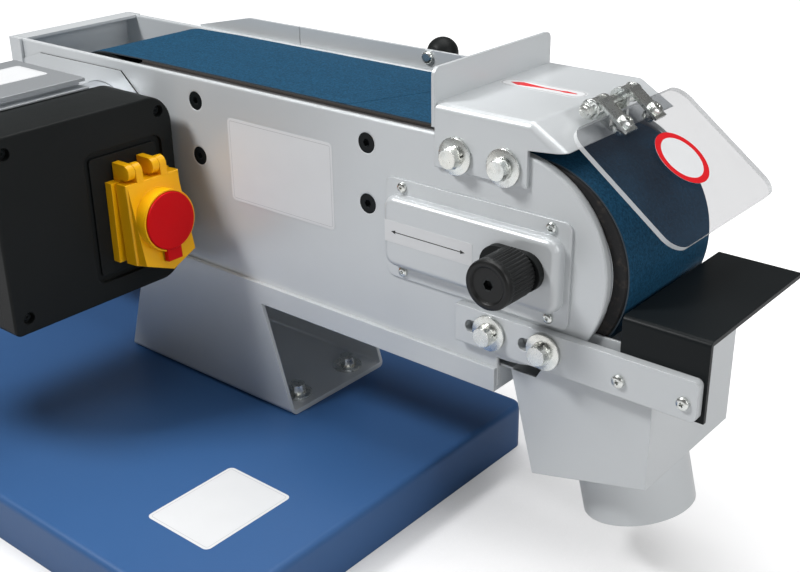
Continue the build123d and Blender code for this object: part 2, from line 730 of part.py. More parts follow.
def contact_wheel():
    core_radius = ROLLER_RADIUS - TYRE_THICKNESS
    wheel = roller_shell(WHEEL_X, WHEEL_Z, core_radius, WHEEL_HUB / 2, WHEEL_HUB_LENGTH)
    wheel -= rod_y(WHEEL_X, WHEEL_Z, ROLLER_NEAR, AXLE_COLLAR / 2 + SLIDE_GAP, ROLLER_WIDTH)
    for y in wheel_bearing_places():
        wheel -= rod_y(WHEEL_X, WHEEL_Z, y, WHEEL_BEARING_OUTER / 2, WHEEL_BEARING_WIDTH)
    return wheel


def wheel_tyre():
    tyre = rod_y(WHEEL_X, WHEEL_Z, ROLLER_NEAR, ROLLER_RADIUS, ROLLER_WIDTH)
    tyre = chamfer(tyre.edges().filter_by(GeomType.CIRCLE), TYRE_CHAMFER)
    return tyre - rod_y(WHEEL_X, WHEEL_Z, ROLLER_NEAR, ROLLER_RADIUS - TYRE_THICKNESS, ROLLER_WIDTH)


def bearing(x, z, y, outer, bore, width):
    ring = rod_y(x, z, y, outer / 2, width)
    ring = chamfer(ring.edges().filter_by(GeomType.CIRCLE), BEARING_CHAMFER)
    return ring - rod_y(x, z, y, bore / 2, width)


def wheel_bearings():
    bore = AXLE_DIAMETER + 2 * RUNNING_FIT
    return [
        bearing(WHEEL_X, WHEEL_Z, y, WHEEL_BEARING_OUTER, bore, WHEEL_BEARING_WIDTH)
        for y in wheel_bearing_places()
    ]


def wheel_axle():
    far_end = WHEEL_HUB_FAR + SLIDE_GAP + AXLE_COLLAR_WIDTH
    axle = rod_y(WHEEL_X, WHEEL_Z, CARRIAGE_NEAR, AXLE_DIAMETER / 2, far_end - CARRIAGE_NEAR)
    for y in (WHEEL_HUB_NEAR - SLIDE_GAP - AXLE_COLLAR_WIDTH, WHEEL_HUB_FAR + SLIDE_GAP):
        axle += rod_y(WHEEL_X, WHEEL_Z, y, AXLE_COLLAR / 2, AXLE_COLLAR_WIDTH)
    return axle - rod_y(WHEEL_X, WHEEL_Z, CARRIAGE_NEAR, SPINDLE_DIAMETER / 2 + RUNNING_FIT, SPINDLE_GRIP)


def spring_places():
    return WHEEL_Z - SPRING_SPREAD / 2, WHEEL_Z + SPRING_SPREAD / 2


def axle_slide():
    half = CARRIAGE_HEIGHT / 2
    profile = rectangle(CARRIAGE_REAR, WHEEL_X, WHEEL_Z - half, WHEEL_Z + half)
    profile += Pos(WHEEL_X, WHEEL_Z) * Circle(CARRIAGE_NOSE)
    profile -= Pos(WHEEL_X, WHEEL_Z) * Circle(AXLE_DIAMETER / 2)
    slide = side_plate(profile, CARRIAGE_NEAR, CARRIAGE_PLATE)
    rod_start = BOSS_INNER_REAR + CARRIAGE_TRAVEL + SLIDE_GAP
    for z in spring_places():
        slide += rod_x(CARRIAGE_MID, z, rod_start, SPRING_ROD / 2, CARRIAGE_REAR - rod_start)
    return slide


def tension_springs():
    rear = BOSS_INNER_REAR + SLIDE_GAP
    length = CARRIAGE_REAR - CARRIAGE_TRAVEL - SLIDE_GAP - rear
    coil = Circle(SPRING_OUTER / 2) - Circle(SPRING_ROD / 2 + SLIDE_GAP)
    return [front_plate(Pos(CARRIAGE_MID, z) * coil, rear, length) for z in spring_places()]


def tracking_cover():
    plate = Pos(COVER_X, COVER_Z) * RectangleRounded(COVER_LENGTH, COVER_HEIGHT, COVER_CORNER)
    plate -= holes(cover_screw_places(), M4 / 2 + HOLE_CLEARANCE)
    boss = Pos(BOSS_X, COVER_Z) * RectangleRounded(BOSS_LENGTH, BOSS_HEIGHT, BOSS_CORNER)
    boss = side_plate(boss, BOSS_NEAR, BOSS_DEPTH)
    boss = fillet(boss.edges().group_by(Axis.Y)[0], BOSS_EDGE)
    hollow = Pos(BOSS_X, COVER_Z) * RectangleRounded(
        BOSS_LENGTH - 2 * COVER_SHEET,
        BOSS_HEIGHT - 2 * COVER_SHEET,
        BOSS_CORNER - COVER_SHEET,
    )
    hollow = side_plate(hollow, BOSS_NEAR + COVER_SHEET, BOSS_DEPTH - COVER_SHEET)
    hollow = fillet(hollow.edges().group_by(Axis.Y)[0], BOSS_EDGE - COVER_SHEET)
    slot = SlotCenterToCenter(CARRIAGE_TRAVEL, SPINDLE_DIAMETER + 2 * SLIDE_GAP)
    slot = Pos(WHEEL_X - CARRIAGE_TRAVEL / 2, WHEEL_Z) * slot
    cover = side_plate(plate, COVER_NEAR, COVER_SHEET) + boss - hollow
    return cover - side_plate(slot, BOSS_NEAR, COVER_SHEET)


def cover_screws():
    pin = pan_screw(M4, COVER_SHEET + WALL, M4_HEAD, M4_HEAD_HEIGHT)
    return [Pos(x, COVER_NEAR, z) * TO_NEAR * pin for x, z in cover_screw_places()]


def knob_base():
    """Oblong plate under the knob, carried on a neck that runs through the cover's slot."""
    shape = SlotOverall(KNOB_BASE_LENGTH, KNOB_BASE_HEIGHT)
    base = side_plate(Pos(WHEEL_X + KNOB_BASE_SHIFT, WHEEL_Z) * shape, KNOB_BASE_NEAR, KNOB_BASE_DEPTH)
    neck_length = CARRIAGE_NEAR - KNOB_BASE_NEAR
    base += rod_y(WHEEL_X, WHEEL_Z, KNOB_BASE_NEAR, SPINDLE_DIAMETER / 2, neck_length)
    return base - rod_y(WHEEL_X, WHEEL_Z, KNOB_BASE_NEAR, SPINDLE_STEM / 2 + RUNNING_FIT, neck_length)


def tracking_knob():
    grip = Circle(KNOB_DIAMETER / 2)
    flute = Pos(KNOB_DIAMETER / 2, 0) * RegularPolygon(KNOB_FLUTE_DEPTH, 4)
    for i in range(KNOB_FLUTES):
        grip -= Rot(0, 0, 360 * i / KNOB_FLUTES) * flute
    grip = Pos(WHEEL_X, WHEEL_Z) * grip
    knob = side_plate(grip, KNOB_NEAR + KNOB_PLAIN_END, KNOB_LENGTH - KNOB_PLAIN_END)
    cap = rod_y(WHEEL_X, WHEEL_Z, KNOB_NEAR, KNOB_DIAMETER / 2, KNOB_PLAIN_END)
    knob += chamfer(cap.edges().group_by(Axis.Y)[0], KNOB_CHAMFER)
    knob -= rod_y(WHEEL_X, WHEEL_Z, KNOB_NEAR, KNOB_RECESS / 2, KNOB_RECESS_DEPTH)
    return knob - rod_y(WHEEL_X, WHEEL_Z, KNOB_NEAR, SPINDLE_STEM / 2, KNOB_LENGTH)


def knob_spindle():
    near = KNOB_NEAR + KNOB_RECESS_DEPTH
    far = CARRIAGE_NEAR + SPINDLE_GRIP - SLIDE_GAP
    spindle = rod_y(WHEEL_X, WHEEL_Z, near, SPINDLE_STEM / 2, far - near)
    thread_near = CARRIAGE_NEAR + SLIDE_GAP
    spindle += rod_y(WHEEL_X, WHEEL_Z, thread_near, SPINDLE_DIAMETER / 2, far - thread_near)
    socket = Pos(WHEEL_X, WHEEL_Z) * hexagon(SPINDLE_SOCKET)
    return spindle - side_plate(socket, near, SPINDLE_SOCKET_DEPTH)


def hood_skin_line():
    return (HOOD_LIP_X, HOOD_LIP_Z), (HOOD_BEND_X, HOOD_TOP), (HOOD_REAR, HOOD_TOP)


def hood():
    profile = outline(
        (HOOD_REAR, HOOD_FLANGE_BOTTOM),
        (HOOD_FLANGE_FRONT, HOOD_FLANGE_BOTTOM),
        (HOOD_FLANGE_FRONT, HOOD_TONGUE_Z),
        *hood_skin_line(),
    )
    bend = profile.vertices().filter_by(lambda v: v.X == HOOD_BEND_X)
    shell = side_plate(fillet(bend, HOOD_BEND_RADIUS), HOOD_NEAR, HOOD_FAR - HOOD_NEAR)
    rims = shell.edges().filter_by(Axis.Y, reverse=True).group_by(Axis.Y)[0]
    rims = rims.filter_by(lambda e: e.center().Z > (HOOD_LIP_Z + HOOD_TOP) / 2 - HOOD_EDGE_RADIUS)
    shell = fillet(rims, HOOD_EDGE_RADIUS)
    lip, corner, rear = inset_line(hood_skin_line(), HOOD_SHEET)
    run = (lip[0] - corner[0], lip[1] - corner[1])
    inside = outline(
        (corner[0] + 2 * run[0], corner[1] + 2 * run[1]),
        corner,
        rear,
        (HOOD_REAR, HOOD_FLANGE_BOTTOM),
        (corner[0] + 2 * run[0], HOOD_FLANGE_BOTTOM),
    )
    shell -= side_plate(inside, BODY_NEAR, FAR_OUT - BODY_NEAR)
    below_door = rectangle(HOOD_REAR, HOOD_LIP_X, HOOD_FLANGE_BOTTOM, PLATE_TOP + SLIDE_GAP)
    shell -= side_plate(below_door, FAR_OUT, HOOD_SHEET)
    bores = holes(hood_bolt_places(), M8 / 2 + HOLE_CLEARANCE)
    return shell - [side_plate(bore, HOOD_NEAR, HOOD_SHEET) for bore in bores]


def hood_bolts():
    bolt = hex_bolt(HOOD_SHEET + WALL)
    return [Pos(x, HOOD_NEAR, z) * TO_NEAR * bolt for x, z in hood_bolt_places()]


def stop_plate():
    shape = rectangle(HOOD_NEAR, HOOD_FAR, BELT_TOP + STOP_BELT_GAP, STOP_TOP)
    shape = fillet(shape.vertices().group_by(Axis.Y)[-1], STOP_CORNER)
    return front_plate(shape, HOOD_REAR - STOP_SHEET, STOP_SHEET)


def shield_plane():
    """Plane along the shield with its origin on the pivot, midway across the body."""
    tilt = math.radians(SHIELD_TILT)
    return Plane(
        origin=(SHIELD_PIVOT_X, BODY_MID, SHIELD_PIVOT_Z),
        x_dir=(math.cos(tilt), 0, -math.sin(tilt)),
        z_dir=(math.sin(tilt), 0, math.cos(tilt)),
    )


def strap_places():
    return -STRAP_SPREAD / 2, STRAP_SPREAD / 2


def eye_shield():
    middle = SHIELD_START + SHIELD_LENGTH / 2
    sheet = Pos(middle, 0) * RectangleRounded(SHIELD_LENGTH, SHIELD_WIDTH, SHIELD_CORNER)
    sheet -= [Pos(STRAP_SCREW, y) * Circle(M5 / 2 + HOLE_CLEARANCE) for y in strap_places()]
    return shield_plane() * Pos(0, 0, SHIELD_LEVEL - SHIELD_THICKNESS) * extrude(sheet, SHIELD_THICKNESS)


def shield_strap():
    leaf = rectangle(0, STRAP_LENGTH, -STRAP_WIDTH / 2, STRAP_WIDTH / 2)
    leaf -= Pos(STRAP_SCREW, 0) * Circle(M5 / 2 + HOLE_CLEARANCE)
    strap = Pos(0, 0, SHIELD_LEVEL) * extrude(leaf, STRAP_SHEET)
    strap += TO_NEAR * Cylinder(STRAP_EYE / 2, STRAP_WIDTH)
    return strap - TO_NEAR * Cylinder(PIVOT_DIAMETER / 2 + RUNNING_FIT, STRAP_WIDTH)


def shield_straps():
    return [shield_plane() * Pos(0, y, 0) * shield_strap() for y in strap_places()]


def shield_screws():
    grip = STRAP_SHEET + SHIELD_THICKNESS
    pin = pan_screw(M5, grip + M5_NUT, M5_HEAD, M5_HEAD_HEIGHT)
    pin += Pos(0, 0, -grip - M5_NUT) * extrude(hexagon(M5_FLATS), M5_NUT)
    seat = SHIELD_LEVEL + STRAP_SHEET
    return [shield_plane() * Pos(STRAP_SCREW, y, seat) * pin for y in strap_places()]


def hood_slope_z(x):
    return HOOD_TOP - (x - HOOD_BEND_X) * (HOOD_TOP - HOOD_LIP_Z) / (HOOD_LIP_X - HOOD_BEND_X)


def shield_bracket():
    rear = SHIELD_PIVOT_X - EAR_RADIUS
    front = SHIELD_PIVOT_X + EAR_RADIUS
    toe = HOOD_LIP_X - BRACKET_MARGIN
    foot = folded_sheet(((rear, hood_slope_z(rear)), (toe, hood_slope_z(toe))), STRAP_SHEET)
    ear = outline(
        (rear, hood_slope_z(rear)),
        (front, hood_slope_z(front)),
        (front, SHIELD_PIVOT_Z),
        (rear, SHIELD_PIVOT_Z),
    )
    pivot = Pos(SHIELD_PIVOT_X, SHIELD_PIVOT_Z)
    ear = ear + pivot * Circle(EAR_RADIUS) - pivot * Circle(PIVOT_DIAMETER / 2 + RUNNING_FIT)
    half = (STRAP_SPREAD - STRAP_WIDTH) / 2 - SLIDE_GAP
    bracket = side_plate(foot, BODY_MID - half, 2 * half)
    for y in (BODY_MID - half, BODY_MID + half - EAR_SHEET):
        bracket += side_plate(ear, y, EAR_SHEET)
    return bracket


def shield_pivot():
    reach = (STRAP_SPREAD + STRAP_WIDTH) / 2 + SLIDE_GAP
    near = BODY_MID - reach - PIVOT_NUT - PIVOT_TAIL
    far = BODY_MID + reach + PIVOT_NUT
    pin = rod_y(SHIELD_PIVOT_X, SHIELD_PIVOT_Z, near, PIVOT_DIAMETER / 2, far - near)
    nut = Pos(SHIELD_PIVOT_X, SHIELD_PIVOT_Z) * hexagon(PIVOT_FLATS)
    for y in (BODY_MID - reach - PIVOT_NUT, BODY_MID + reach):
        pin += side_plate(nut, y, PIVOT_NUT)
    return pin


def table_screw_places():
    return [(TABLE_REAR + x, TABLE_SCREW_Z) for x in TABLE_SCREW_PLACES]


def rest_arm():
    bar = rectangle(ARM_REAR, ARM_FRONT, ARM_Z - ARM_HEIGHT / 2, ARM_Z + ARM_HEIGHT / 2)
    bar = fillet(bar.vertices().group_by(Axis.X)[-1], ARM_CORNER)
    slot = SlotCenterToCenter(ARM_TRAVEL, M8 + 2 * SLIDE_GAP)
    bar -= [Pos(x - ARM_TRAVEL / 2, ARM_Z) * slot for x in ARM_BOLT_X]
    bar -= holes(table_screw_places(), M5 / 2 + HOLE_CLEARANCE)
    return side_plate(bar, ARM_NEAR, ARM_THICKNESS)


def arm_bolts():
    bolt = hex_bolt(ARM_THICKNESS + 2 * SLIDE_GAP + WALL)
    return [Pos(x, ARM_NEAR - SLIDE_GAP, z) * TO_NEAR * bolt for x, z in arm_bolt_places()]


def work_table():
    """Angle plate: its apron hangs on the arm and its top stands free over the chute."""
    chain = ((TABLE_NEAR, TABLE_APRON_BOTTOM), (TABLE_NEAR, TABLE_TOP), (TABLE_FAR, TABLE_TOP))
    table = front_plate(folded_sheet(chain, -TABLE_SHEET), TABLE_REAR, TABLE_LENGTH)
    bend = table.edges().filter_by(Axis.X).group_by(Axis.Z)[-1].sort_by(Axis.Y)[0]
    table = fillet(bend, TABLE_BEND)
    bores = [rod_y(x, z, TABLE_NEAR, M5 / 2 + HOLE_CLEARANCE, TABLE_SHEET) for x, z in table_screw_places()]
    return table - bores


def table_screws():
    pin = pan_screw(M5, ARM_THICKNESS + TABLE_SHEET, M5_HEAD, M5_HEAD_HEIGHT)
    return [Pos(x, ARM_NEAR, z) * TO_NEAR * pin for x, z in table_screw_places()]


def spigot_plane():
    """Plane on the middle of the chute's sloping bottom, facing down and forward."""
    run = CHUTE_FRONT_X - CHUTE_HEEL_X
    rise = CHUTE_TOE_Z - CHUTE_HEEL_Z
    middle = ((CHUTE_HEEL_X + CHUTE_FRONT_X) / 2, CHUTE_MID, (CHUTE_HEEL_Z + CHUTE_TOE_Z) / 2)
    return Plane(origin=middle, x_dir=(0, 1, 0), z_dir=(rise, 0, -run))


def dust_chute():
    rear = (CHUTE_REAR_X, SILL_TOP)
    heel = (CHUTE_HEEL_X, CHUTE_HEEL_Z)
    toe = (CHUTE_FRONT_X, CHUTE_TOE_Z)
    chain = ((CHUTE_FLANGE_REAR, SILL_TOP), rear, heel, toe, (CHUTE_FRONT_X, CHUTE_FRONT_TOP))
    trough = side_plate(folded_sheet(chain, CHUTE_SHEET), CHUTE_NEAR, CHUTE_WIDTH)
    side = outline(
        rear,
        heel,
        toe,
        (CHUTE_FRONT_X, CHUTE_SIDE_TOP),
        (CHUTE_SIDE_REAR, CHUTE_SIDE_TOP),
        (CHUTE_HEEL_X, SILL_TOP),
    )
    for y in (CHUTE_NEAR, CHUTE_FAR - CHUTE_SHEET):
        trough += side_plate(side, y, CHUTE_SHEET)
    mouth = extrude(Circle(SPIGOT_DIAMETER / 2 - SPIGOT_WALL), 2 * CHUTE_SHEET)
    return trough - spigot_plane() * Pos(0, 0, -2 * CHUTE_SHEET) * mouth


def dust_spigot():
    ring = Circle(SPIGOT_DIAMETER / 2) - Circle(SPIGOT_DIAMETER / 2 - SPIGOT_WALL)
    return spigot_plane() * extrude(ring, SPIGOT_LENGTH)


def rear_fence():
    shape = outline(
        (FENCE_REAR, FENCE_BOTTOM),
        (FENCE_SEAM, FENCE_BOTTOM),
        (FENCE_SEAM, FENCE_TOP),
        (FENCE_SLOPE_END, FENCE_TOP),
        (FENCE_REAR, FENCE_LOW),
    )
    return side_plate(shape, FAR_OUT, DOOR_SHEET)


def eye_length():
    """Each hinge has an eye of the door at both ends and the frame's eye between them."""
    return DOOR_HINGE_LENGTH / 3 - SLIDE_GAP


def frame_eye_start(x):
    return x + DOOR_HINGE_LENGTH / 3


def access_door():
    panel = rectangle(DOOR_REAR, FENCE_FRONT, DOOR_BOTTOM, FENCE_TOP)
    panel -= Pos(BALL_X, BALL_Z) * Circle(M5 / 2 + HOLE_CLEARANCE)
    notch_top = DOOR_BOTTOM + DOOR_EYE / 2 + SLIDE_GAP
    for x in DOOR_HINGE_X:
        start = frame_eye_start(x)
        end = start + DOOR_HINGE_LENGTH / 3
        panel -= rectangle(start - SLIDE_GAP, end + SLIDE_GAP, DOOR_BOTTOM, notch_top)
    door = side_plate(panel, DOOR_NEAR, DOOR_SHEET)
    for x in DOOR_HINGE_X:
        for start in (x, x + DOOR_HINGE_LENGTH - eye_length()):
            door += rod_x(DOOR_HINGE_Y, DOOR_BOTTOM, start, DOOR_EYE / 2, eye_length())
        door -= rod_x(DOOR_HINGE_Y, DOOR_BOTTOM, x, DOOR_PIN / 2 + RUNNING_FIT, DOOR_HINGE_LENGTH)
    return door


def door_brackets():
    """Frame half of each hinge: a leaf on the far plate, an eye and the pin fixed in it."""
    brackets = []
    for x in DOOR_HINGE_X:
        start = frame_eye_start(x)
        end = start + DOOR_HINGE_LENGTH / 3
        leaf_top = DOOR_BOTTOM - DOOR_EYE / 2 - SLIDE_GAP
        leaf = block(x, x + DOOR_HINGE_LENGTH, FAR_OUT, FAR_OUT + BRACKET_LEAF, SILL_TOP, leaf_top)
        leaf += block(start, end, FAR_OUT, FAR_OUT + BRACKET_LEAF, leaf_top, DOOR_BOTTOM)
        eye = rod_x(DOOR_HINGE_Y, DOOR_BOTTOM, start, DOOR_EYE / 2, DOOR_HINGE_LENGTH / 3)
        brackets.append(leaf + eye + rod_x(DOOR_HINGE_Y, DOOR_BOTTOM, x, DOOR_PIN / 2, DOOR_HINGE_LENGTH))
    return brackets


def door_knob():
    ball = Pos(BALL_X, DOOR_FAR + BALL_STANDOFF, BALL_Z) * Sphere(BALL_DIAMETER / 2)
    ball += rod_y(BALL_X, BALL_Z, DOOR_FAR, BALL_NECK / 2, BALL_STANDOFF)
    return ball - rod_y(BALL_X, BALL_Z, DOOR_FAR, M5 / 2 + HOLE_CLEARANCE, BALL_THREAD)


def knob_bolt():
    pin = pan_screw(M5, DOOR_SHEET + BALL_THREAD - SLIDE_GAP, M5_HEAD, M5_HEAD_HEIGHT)
    return Pos(BALL_X, DOOR_NEAR, BALL_Z) * TO_NEAR * pin


def motor_mount_plate():
    """Stiffener behind the near plate, where the motor hangs."""
    plate = rectangle(MOUNT_REAR, MOUNT_FRONT, MOUNT_BOTTOM, MOUNT_TOP)
    plate = chamfer(plate.vertices(), MOUNT_CHAMFER)
    plate -= Pos(DRUM_X, DRUM_Z) * Circle(MOTOR_BEARING_OUTER / 2)
    return side_plate(plate, NEAR_IN, MOUNT_PLATE)


def motor_front_bell():
    bell = rod_y(DRUM_X, DRUM_Z, MOTOR_FAR, MOTOR_BELL_RADIUS, MOTOR_BELL_LENGTH)
    bell -= rod_y(DRUM_X, DRUM_Z, MOTOR_FAR, SHAFT_DIAMETER / 2 + SHAFT_CLEARANCE, MOTOR_BELL_LENGTH)
    return bell - rod_y(DRUM_X, DRUM_Z, FRONT_BEARING_NEAR, MOTOR_BEARING_OUTER / 2, MOTOR_BEARING_WIDTH)


def motor_terminal_section():
    """Flat top of the motor, about the shaft: a cover plate over a gap, then a lip on the neck."""
    rear = MOTOR_FLAT_REAR - DRUM_X
    front = MOTOR_FLAT_FRONT - DRUM_X
    top = MOTOR_FLAT_TOP - DRUM_Z
    cover_bottom = top - MOTOR_FLAT_SHEET
    lip_top = cover_bottom - MOTOR_FLAT_GAP
    section = rectangle(rear, front, cover_bottom, top)
    section += rectangle(rear + MOTOR_NECK_INSET, front - MOTOR_NECK_INSET, 0, cover_bottom)
    return section + rectangle(
        rear - MOTOR_LIP_STEP,
        front + MOTOR_LIP_STEP,
        lip_top - MOTOR_LIP_SHEET,
        lip_top,
    )


def motor_housing():
    section = Circle(MOTOR_RADIUS) + motor_terminal_section()
    groove = Pos(MOTOR_RADIUS, 0) * Rectangle(2 * MOTOR_FIN_DEPTH, MOTOR_FIN_SLOT)
    step = math.degrees(MOTOR_FIN_PITCH / MOTOR_RADIUS)
    for i in range(MOTOR_FIN_COUNT):
        section -= Rot(0, 0, MOTOR_FIN_START + i * step) * groove
    section -= Circle(ROTOR_RADIUS + ROTOR_AIR_GAP)
    return side_plate(Pos(DRUM_X, DRUM_Z) * section, MOTOR_NEAR, MOTOR_LENGTH)


def motor_rear_bell():
    ring = Circle(MOTOR_RADIUS - FAN_COVER_WALL) - Circle(MOTOR_BEARING_OUTER / 2)
    return side_plate(Pos(DRUM_X, DRUM_Z) * ring, REAR_BELL_NEAR, MOTOR_REAR_BELL)


def motor_bearings():
    bore = SHAFT_DIAMETER + 2 * RUNNING_FIT
    places = ((FRONT_BEARING_NEAR, MOTOR_BEARING_WIDTH), (REAR_BELL_NEAR, MOTOR_REAR_BELL))
    return [bearing(DRUM_X, DRUM_Z, y, MOTOR_BEARING_OUTER, bore, width) for y, width in places]


def rotor_shaft():
    far_end = BELT_MID + DRUM_HUB_LENGTH / 2
    shaft = rod_y(DRUM_X, DRUM_Z, FAN_NEAR, SHAFT_DIAMETER / 2, far_end - FAN_NEAR)
    core_near = (MOTOR_NEAR + MOTOR_FAR - ROTOR_LENGTH) / 2
    return shaft + rod_y(DRUM_X, DRUM_Z, core_near, ROTOR_RADIUS, ROTOR_LENGTH)


def cooling_fan():
    axis = Pos(DRUM_X, DRUM_Z)
    vanes = Circle(FAN_HUB)
    for i in range(FAN_BLADES):
        vanes += Rot(0, 0, 360 * i / FAN_BLADES) * rectangle(0, FAN_RADIUS, -FAN_BLADE / 2, FAN_BLADE / 2)
    bore = Circle(SHAFT_DIAMETER / 2)
    fan = side_plate(axis * (vanes - bore), FAN_NEAR, FAN_WIDTH)
    return fan + side_plate(axis * (Circle(FAN_RADIUS) - bore), FAN_NEAR + FAN_WIDTH - FAN_DISC, FAN_DISC)


def fan_cover():
    length = FAN_COVER_LENGTH + MOTOR_REAR_BELL
    cover = rod_y(DRUM_X, DRUM_Z, FAN_COVER_NEAR, MOTOR_RADIUS, length)
    cover = fillet(cover.edges().group_by(Axis.Y)[0], FAN_COVER_EDGE)
    inner = rod_y(DRUM_X, DRUM_Z, FAN_COVER_NEAR + FAN_COVER_WALL, MOTOR_RADIUS - FAN_COVER_WALL, length)
    cover -= fillet(inner.edges().group_by(Axis.Y)[0], FAN_COVER_EDGE - FAN_COVER_WALL)
    slot = SlotOverall(FAN_SLOT_OUTER - FAN_SLOT_INNER, FAN_SLOT_WIDTH)
    slot = Pos((FAN_SLOT_OUTER + FAN_SLOT_INNER) / 2, 0) * slot
    slots = [Pos(DRUM_X, DRUM_Z) * Rot(0, 0, 360 * i / FAN_SLOTS) * slot for i in range(FAN_SLOTS)]
    return cover - [side_plate(cut, FAN_COVER_NEAR, FAN_COVER_WALL) for cut in slots]


def box_outline(inset=0.0):
    shape = rectangle(BOX_NEAR + inset, BOX_FAR - inset, BOX_BOTTOM + inset, BOX_TOP - inset)
    shape = fillet(shape.vertices().group_by(Axis.X)[-1], BOX_FAR_CORNER - inset)
    return fillet(shape.vertices().group_by(Axis.X)[0], BOX_NEAR_CORNER - inset)


def box_screw_places():
    rows = (BOX_BOTTOM + BOX_SCREW_INSET, BOX_TOP - BOX_SCREW_INSET)
    return [(y, z) for y in (BOX_NEAR + BOX_SCREW_INSET, BOX_FAR - BOX_SCREW_INSET) for z in rows]


def switch_box():
    depth = BOX_SPLIT - BOX_REAR
    box = front_plate(box_outline(), BOX_REAR, depth)
    box -= front_plate(box_outline(BOX_WALL), BOX_REAR + BOX_WALL, depth - BOX_WALL)
    box += [rod_x(y, z, BOX_REAR, BOX_POST, depth) for y, z in box_screw_places()]
    bore = M4 / 2 + HOLE_CLEARANCE
    box -= [rod_x(y, z, BOX_SPLIT - BOX_SCREW_GRIP, bore, BOX_SCREW_GRIP) for y, z in box_screw_places()]
    return box - rod_y(DRUM_X, DRUM_Z, BOX_NEAR, MOTOR_RADIUS + SLIDE_GAP, BOX_FAR - BOX_NEAR)


def panel_outline(inset=0.0):
    shape = RectangleRounded(PANEL_WIDTH - 2 * inset, PANEL_HEIGHT - 2 * inset, PANEL_CORNER - inset)
    return Pos(PANEL_Y, PANEL_Z) * shape


def switch_window():
    opening = Rectangle(SWITCH_WIDTH - 2 * SWITCH_RIM, SWITCH_HEIGHT - 2 * SWITCH_RIM)
    return Pos(SWITCH_Y, SWITCH_Z) * opening


def box_lid():
    depth = BOX_FRONT - BOX_SPLIT
    lid = front_plate(box_outline(), BOX_SPLIT, depth)
    lid = fillet(lid.edges().group_by(Axis.X)[-1], BOX_EDGE)
    lid -= front_plate(box_outline(BOX_WALL), BOX_SPLIT, depth - BOX_FACE_WALL)
    lid -= front_plate(panel_outline(), PANEL_BACK, PANEL_RECESS)
    lid -= front_plate(switch_window(), BOX_SPLIT, depth)
    lid += [rod_x(y, z, BOX_SPLIT, BOX_POST, depth - BOX_FACE_WALL) for y, z in box_screw_places()]
    seat = BOX_FRONT - BOX_SCREW_SINK
    for y, z in box_screw_places():
        lid -= rod_x(y, z, BOX_SPLIT, M4 / 2 + HOLE_CLEARANCE, depth)
        lid -= rod_x(y, z, seat, BOX_SCREW_POCKET / 2, BOX_SCREW_SINK)
    return lid


def box_screws():
    seat = BOX_FRONT - BOX_SCREW_SINK
    pin = pan_screw(M4, seat - BOX_SPLIT + BOX_SCREW_GRIP, M4_HEAD, M4_HEAD_HEIGHT)
    return [Pos(seat, y, z) * TO_FRONT * pin for y, z in box_screw_places()]


def switch_panel():
    return front_plate(panel_outline(PANEL_MARGIN) - switch_window(), PANEL_BACK, PANEL_SHEET)


def button_places():
    return SWITCH_Z + BUTTON_PITCH / 2, SWITCH_Z - BUTTON_PITCH / 2


def switch_core():
    core = front_plate(switch_window(), BOX_SPLIT, CORE_FACE - BOX_SPLIT)
    width = BUTTON_WIDTH + 2 * SLIDE_GAP
    height = BUTTON_HEIGHT + 2 * SLIDE_GAP
    depth = BUTTON_ROOT + BUTTON_TRAVEL + SLIDE_GAP
    for z in button_places():
        core -= front_plate(Pos(SWITCH_Y, z) * Rectangle(width, height), CORE_FACE - depth, depth)
    return core


def push_button(z):
    face = Pos(SWITCH_Y, z) * Rectangle(BUTTON_WIDTH, BUTTON_HEIGHT)
    button = front_plate(face, CORE_FACE - BUTTON_ROOT, BUTTON_ROOT + BUTTON_PROUD)
    return fillet(button.edges().group_by(Axis.X)[-1], BUTTON_EDGE)


def start_button():
    return push_button(button_places()[0])


def off_button():
    return push_button(button_places()[1])


def base_lug_places():
    left = LID_Y - LID_WIDTH / 2 + LUG_INSET
    return left, left + LUG_PITCH


def switch_base():
    rim = Pos(SWITCH_Y, SWITCH_Z) * Rectangle(SWITCH_WIDTH, SWITCH_HEIGHT) - switch_window()
    seat = PANEL_BACK + PANEL_SHEET
    base = front_plate(rim, seat, SWITCH_FACE - seat)
    lug = rectangle(BOX_FRONT, SWITCH_FACE, SWITCH_TOP - SWITCH_RIM, HINGE_Z + LUG_RADIUS)
    lug += rectangle(BOX_FRONT, HINGE_X, HINGE_Z - LUG_RADIUS, HINGE_Z + LUG_RADIUS)
    lug += Pos(HINGE_X, HINGE_Z) * Circle(LUG_RADIUS)
    for y in base_lug_places():
        base += side_plate(lug, y, LUG_WIDTH)
        base += rod_y(HINGE_X, HINGE_Z, y, LUG_PIN / 2, 2 * LUG_WIDTH + SLIDE_GAP)
    return base


def set_ajar(piece):
    """Swings a piece of the flip lid out about the lid's hinge, as it stands at rest."""
    hinge = Pos(HINGE_X, 0, HINGE_Z)
    return hinge * Rot(0, -LID_AJAR, 0) * hinge.inverse() * piece


def lid_face(inset=0.0):
    """Front of the flip lid with its pointed lower end."""
    half = LID_WIDTH / 2
    face = outline(
        (LID_Y - half, SWITCH_BOTTOM),
        (LID_Y, SWITCH_BOTTOM - LID_BEAK),
        (LID_Y + half, SWITCH_BOTTOM),
        (LID_Y + half, SWITCH_TOP),
        (LID_Y - half, SWITCH_TOP),
    )
    return offset(face, -inset, kind=Kind.INTERSECTION) if inset else face


def lid_swell(inset, depth, length):
    """Wedge on the lid's front, flush at the hinge end and deepest over the pointed lower end."""
    back = LID_FRONT - depth
    foot = SWITCH_BOTTOM - LID_BEAK
    slope = outline((back, SWITCH_TOP - LID_STEP), (back, foot), (back + LID_SWELL, foot))
    wedge = side_plate(slope, LID_Y - LID_WIDTH / 2, LID_WIDTH)
    return wedge & front_plate(lid_face(inset), back, length)


